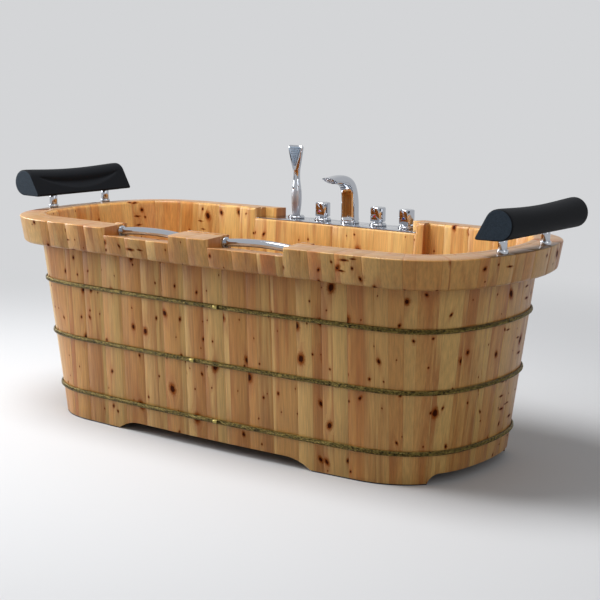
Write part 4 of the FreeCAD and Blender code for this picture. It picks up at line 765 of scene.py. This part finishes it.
def pillow_outline(count):
    """Points round a pillow's section, each with how far up the slanted face it is, or -1 elsewhere."""
    s = settings("pillow_sizes")
    back, tip = Vector((s.back_x, s.back_z)), Vector((s.tip_x, s.tip_z))
    line = back - tip
    spread = math.acos((s.back_radius - s.tip_radius) / line.length)
    facing = math.atan2(-line.y, -line.x)
    upper, lower = facing - spread, facing + spread

    def on_round(centre, radius, angle):
        return centre + Vector((math.cos(angle), math.sin(angle))) * radius

    nose_top, over = on_round(tip, s.tip_radius, upper), on_round(back, s.back_radius, upper)
    nose_low, under = on_round(tip, s.tip_radius, lower), on_round(back, s.back_radius, lower)
    slant_count = back_count = count // 3
    low_count = count // 5
    nose_count = count - slant_count - back_count - low_count
    sweep = 2 * math.pi - 2 * spread
    points = [(nose_top.lerp(over, i / slant_count), i / slant_count) for i in range(slant_count)]
    points += [(on_round(back, s.back_radius, upper - sweep * i / back_count), -1.0)
               for i in range(back_count)]
    points += [(under.lerp(nose_low, i / low_count), -1.0) for i in range(low_count)]
    points += [(on_round(tip, s.tip_radius, lower - 2 * spread * i / nose_count), -1.0)
               for i in range(nose_count)]
    return points


def pillow_row(share):
    """Place along a pillow of a row of points; the rows crowd where the skin rounds into the caps."""
    s = settings("pillow_sizes")
    straight = s.half_length - s.cap_round
    if abs(share) < SKIN_ROWS:
        return share / SKIN_ROWS * straight
    turn = (abs(share) - SKIN_ROWS) / (1 - SKIN_ROWS) * math.pi / 2
    return math.copysign(straight + s.cap_round * math.sin(turn), share)


def pillow_point(spot, slant, y):
    """A point of the section moved to where it lies at a place along the pillow."""
    s = settings("pillow_sizes")
    middle = Vector((s.back_x - PILLOW_CORE[0], s.back_z - PILLOW_CORE[1]))
    into_round = max(0.0, s.cap_round - (s.half_length - abs(y)))
    inset = s.cap_round - math.sqrt(max(0.0, s.cap_round ** 2 - into_round ** 2))
    level = max(0.0, 1 - (y / (SADDLE_REACH * s.half_length)) ** 2)
    height = max(0.0, (spot.y - middle.y) / s.back_radius)
    # The saddle runs out towards both ends and down to the middle line
    place = Vector((spot.x, spot.y - s.saddle * level ** 1.3 * height ** 1.2))
    if slant >= 0:
        # The hollow's lower edge is lowest at the middle and rises to both ends
        edge = HOLLOW_EDGE + HOLLOW_RISE * min(1.0, (y / (EDGE_REACH * s.half_length)) ** 2)
        depth = max(0.0, slant - edge) / (HOLLOW_TOP - edge)
        # 6.75 makes the curve's highest value 1
        dip = 6.75 * depth * (1 - min(1.0, depth)) ** 2
        place += (middle - spot).normalized() * (s.hollow * dip * level)
    return place + (middle - place).normalized() * inset


def pillow_mesh(sign):
    """Skin with a saddle and a neck hollow, and two end caps with a rounded edge."""
    outline = pillow_outline(SECTION_POINTS)
    bm = bmesh.new()
    bmesh.ops.create_grid(bm, x_segments=SECTION_POINTS, y_segments=SECTION_ROWS, size=0.5)
    for vert in bm.verts:
        around = round((vert.co.x + 0.5) * SECTION_POINTS) % SECTION_POINTS
        y = pillow_row(vert.co.y * 2)
        place = pillow_point(*outline[around], y)
        vert.co = Vector((place.x * sign, y, place.y))
    bmesh.ops.remove_doubles(bm, verts=bm.verts, dist=WELD)
    for end in (-1, 1):
        rim = [e for e in bm.edges if e.is_boundary and e.verts[0].co.y * end > 0]
        cap = bmesh.ops.contextual_create(bm, geom=rim)["faces"]
        bmesh.ops.inset_region(bm, faces=cap, thickness=CAP_INSET)
    bmesh.ops.recalc_face_normals(bm, faces=bm.faces)
    for face in bm.faces:
        face.smooth = True
        face.material_index = int(abs(face.normal.y) > 0.9)
    return bm


class BATHTUB_OT_pillows(bpy.types.Operator):
    """Makes the two head pillows with their hollow and caps"""
    bl_idname = "bathtub.pillows"
    bl_label = "Head pillows"

    def execute(self, context):
        skin = foam_skin("moulded_foam_skin", settings("tub_colours").foam, 1.6 * MM, 0.3)
        # The caps' paler blue-grey is partly painted light, a tone between the window-lit left cap and
        # the shaded right cap; their coarser grain with lighter specks is the foam's own
        cap = foam_skin("moulded_foam_cap_painted_light", "2C3640", 2.4 * MM, 0.9)
        for side, sign in (("left", -1), ("right", 1)):
            node = f"{side}_pillow"
            piece = place_piece(pillow_mesh(sign), f"{node}_cushion", TUB, skin,
                                [node])
            piece.data.materials.append(cap)
        return {"FINISHED"}


class BATHTUB_OT_metalwork(bpy.types.Operator):
    """Finishes the taps, spout, hand shower, bars, posts, waste and pipes"""
    bl_idname = "bathtub.metalwork"
    bl_label = "Taps and metalwork"

    def execute(self, context):
        chrome = polished_chrome()
        satin = brushed_metal("satin_nickel", "B4B6BC", 0.34, (900, 900, 40))
        brass = brushed_metal("machined_brass", "B8985A", 0.38, (500, 500, 120))
        copper = brushed_metal("drawn_copper", "B5764F", 0.36, (60, 700, 700))
        polish(["left_grab_bar", "right_grab_bar", "grab_bar_flanges", "deck_plate", "tap_escutcheons",
                "hot_knob", "cold_knob", "diverter_knob", "spout_body", "shower_holder",
                "shower_head_shell", "pillow_posts", "pillow_post_collars", "drain_flange",
                "drain_plug", "overflow_plate"], chrome)
        polish(["shower_grip", "spout_aerator", "grab_bar_screws"], satin)
        dress(["pillow_post_studs"], satin)
        polish(["deck_nuts", "valve_bodies", "inlet_tails", "hose_outlet", "drain_body"], brass)
        dress(["hot_spindle", "cold_spindle", "diverter_spindle", "spout_shank"], brass)
        polish(["mixed_water_pipe", "spout_pipe", "shower_pipe"], copper)
        for mark, name, hex_value in (("hot_mark", "red_enamel", "B3151B"),
                                      ("cold_mark", "blue_enamel", "12307E"),
                                      ("diverter_mark", "pink_enamel", "B84A78")):
            polish([mark], moulded(name, hex_value, 0.25), 0.1 * MM)
        black = moulded("black_rubber", "101012", 0.6)
        polish(["rubber_foot_strips", "overflow_elbow", "pillow_mount_boards"], black)
        return {"FINISHED"}


class BATHTUB_OT_nozzles(bpy.types.Operator):
    """Sets the rows of rubber nozzles on the hand shower's face"""
    bl_idname = "bathtub.nozzles"
    bl_label = "Shower nozzles"

    SPACING = 5.2 * MM
    BASE, TOP, HEIGHT = 1.1 * MM, 0.7 * MM, 1.2 * MM
    MARGIN_TOP, MARGIN_SIDE = 4 * MM, 3 * MM
    # How far the middle of a nozzle stands out of the plate
    PROUD = 0.4 * MM

    def execute(self, context):
        plate = "shower_nozzle_plate"
        polish([plate], moulded("blue_grey_silicone", "74869A", 0.5))
        low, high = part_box(plate)
        middle = (low[0] + high[0]) / 2
        half, tall = (high[0] - low[0]) / 2, high[2] - low[2]
        spin = Matrix.Rotation(math.radians(90), 4, "X")
        bm = bmesh.new()
        for row in range(int(tall / self.SPACING) - 1):
            z = high[2] - self.MARGIN_TOP - row * self.SPACING
            reach = half * (z - low[2]) / tall - self.MARGIN_SIDE
            count = int(reach / self.SPACING)
            for column in range(-count, count + 1):
                at = Matrix.Translation((middle + column * self.SPACING, low[1] - self.PROUD, z))
                bmesh.ops.create_cone(bm, cap_ends=True, segments=10, radius1=self.BASE,
                                      radius2=self.TOP, depth=self.HEIGHT, matrix=at @ spin)
        for face in bm.faces:
            face.smooth = True
        dark = moulded("dark_silicone", "2C333C", 0.5)
        place_piece(bm, "shower_nozzles", "hand_shower", dark)
        return {"FINISHED"}


# Half width of the studio floor, and where on it the shadow fades into the plain backdrop
FLOOR_HALF, FADE_START, FADE_END = 30, 1.1, 3.2
# Name, place, point that it faces, width in metres and power in watts
LAMPS = (
    ("window", (-4.0, -1.2, 1.6), (0, 0, 0.35), 2.0, 128),
    ("ceiling", (-0.7, -0.6, 3.2), (0, 0.1, 0.4), 1.8, 98),
    ("right_fill", (3.6, -1.2, 1.6), (0.3, 0, 0.3), 2.0, 12),
)
# The photograph's camera: its place, its angles in radians and its lens in millimetres
CAMERA_PLACE = (2.410157, -3.078687, 1.040989)
YAW, PITCH, ROLL = 0.647, -0.171, 0.010
LENS, SENSOR = 85.57, 36


def looked_at(tree):
    """1 for the rays by which the camera, the metal and the varnish see the backdrop."""
    rays = add(tree, "LightPath").outputs
    seen = maths(tree, "MAXIMUM", rays["Is Camera Ray"], rays["Is Glossy Ray"])
    return maths(tree, "MAXIMUM", seen, rays["Is Transmission Ray"])


def floor_paint():
    """Painted studio floor: the object's shadow near it, and the plain backdrop further out.
    It throws back less light than the camera sees on it, so the walls keep their modelling."""
    new, tree, shader = material("painted_floor")
    backdrop = linear(settings("tub_colours").floor)
    shade(tree, shader, base_color=backdrop, roughness=0.75)
    away = distance(tree, add(tree, "TexCoord").outputs["Object"])
    far = ramp(tree, away, FADE_START, FADE_END, smooth=True)
    glow = add(tree, "Emission", {"Color": backdrop, "Strength": 1.0}).outputs[0]
    blend = add(tree, "MixShader", {0: far, 1: shader.outputs[0], 2: glow}).outputs[0]
    throw = add(tree, "BsdfDiffuse", {"Color": linear("86878A")}).outputs[0]
    choice = add(tree, "MixShader", {0: looked_at(tree), 1: throw, 2: blend}).outputs[0]
    tree.links.new(choice, tree.nodes["Material Output"].inputs["Surface"])
    return new


def studio_world():
    """Even pale room: its light, and the plain backdrop that the camera and the chrome see."""
    world = bpy.data.worlds.new("studio")
    world.use_nodes = True
    tree = world.node_tree
    room = tree.nodes["Background"]
    room.inputs["Color"].default_value = linear("E4E5E7")
    room.inputs["Strength"].default_value = 0.36
    colour = linear(settings("tub_colours").floor)
    backdrop = add(tree, "Background", {"Color": colour, "Strength": 1.0}).outputs[0]
    choice = add(tree, "MixShader", {0: looked_at(tree), 1: room.outputs[0], 2: backdrop}).outputs[0]
    tree.links.new(choice, tree.nodes["World Output"].inputs["Surface"])
    return world


def lamp(name, spot, target, wide, watts):
    """A round soft light that faces a point."""
    light = bpy.data.lights.new(name, "AREA")
    light.shape = "DISK"
    light.size = wide
    light.energy = watts
    new = bpy.data.objects.new(name, light)
    new.location = spot
    new.rotation_euler = (Vector(target) - Vector(spot)).to_track_quat("-Z", "Y").to_euler()
    bpy.context.scene.collection.objects.link(new)


def photo_camera():
    """The photograph's camera: it stands in front, to the right, and looks a little down."""
    level = math.cos(PITCH)
    forward = Vector((-math.sin(YAW) * level, math.cos(YAW) * level, math.sin(PITCH)))
    right = Vector((math.cos(YAW), math.sin(YAW), 0))
    up = right.cross(forward)
    turned_right = right * math.cos(ROLL) + up * math.sin(ROLL)
    turned_up = up * math.cos(ROLL) - right * math.sin(ROLL)
    lens = bpy.data.cameras.new("photo_camera")
    lens.sensor_width = SENSOR
    lens.sensor_fit = "HORIZONTAL"
    lens.lens = LENS
    lens.clip_end = 100
    camera = bpy.data.objects.new("photo_camera", lens)
    turn = Matrix((turned_right, turned_up, -forward)).transposed().to_4x4()
    camera.matrix_world = Matrix.Translation(CAMERA_PLACE) @ turn
    bpy.context.scene.collection.objects.link(camera)
    return camera


class BATHTUB_OT_stage(bpy.types.Operator):
    """Sets the floor, the soft studio light and the camera"""
    bl_idname = "bathtub.stage"
    bl_label = "Studio and camera"

    def execute(self, context):
        bm = bmesh.new()
        bmesh.ops.create_grid(bm, x_segments=1, y_segments=1, size=FLOOR_HALF)
        mesh = bpy.data.meshes.new("studio_floor")
        bm.to_mesh(mesh)
        bm.free()
        mesh.materials.append(floor_paint())
        floor = bpy.data.objects.new("studio_floor", mesh)
        context.scene.collection.objects.link(floor)
        context.scene.world = studio_world()
        for row in LAMPS:
            lamp(*row)
        context.scene.camera = photo_camera()
        context.scene.view_settings.view_transform = "Standard"
        return {"FINISHED"}


OPERATORS = [BATHTUB_OT_stage, BATHTUB_OT_timber, BATHTUB_OT_hoops, BATHTUB_OT_pillows,
             BATHTUB_OT_metalwork, BATHTUB_OT_nozzles]


class BATHTUB_PT_panel(bpy.types.Panel):
    """Lists the steps that dress the bathtub"""
    bl_idname = "BATHTUB_PT_panel"
    bl_label = "Bathtub"
    bl_space_type = "VIEW_3D"
    bl_region_type = "UI"
    bl_category = "Bathtub"

    def draw(self, context):
        for operator in OPERATORS:
            self.layout.operator(operator.bl_idname)


GROUPS = {"tub_sizes": TubSizes, "pillow_sizes": PillowSizes, "tub_colours": Colours}


def register():
    for group in GROUPS.values():
        bpy.utils.register_class(group)
    for operator in OPERATORS:
        bpy.utils.register_class(operator)
    bpy.utils.register_class(BATHTUB_PT_panel)
    for name, group in GROUPS.items():
        setattr(bpy.types.Scene, name, bpy.props.PointerProperty(type=group))


def unregister():
    for name in GROUPS:
        delattr(bpy.types.Scene, name)
    bpy.utils.unregister_class(BATHTUB_PT_panel)
    for operator in reversed(OPERATORS):
        bpy.utils.unregister_class(operator)
    for group in GROUPS.values():
        bpy.utils.unregister_class(group)


def main():
    register()
    for operator in OPERATORS:
        space, name = operator.bl_idname.split(".")
        getattr(getattr(bpy.ops, space), name)()


if __name__ == "__main__":
    main()
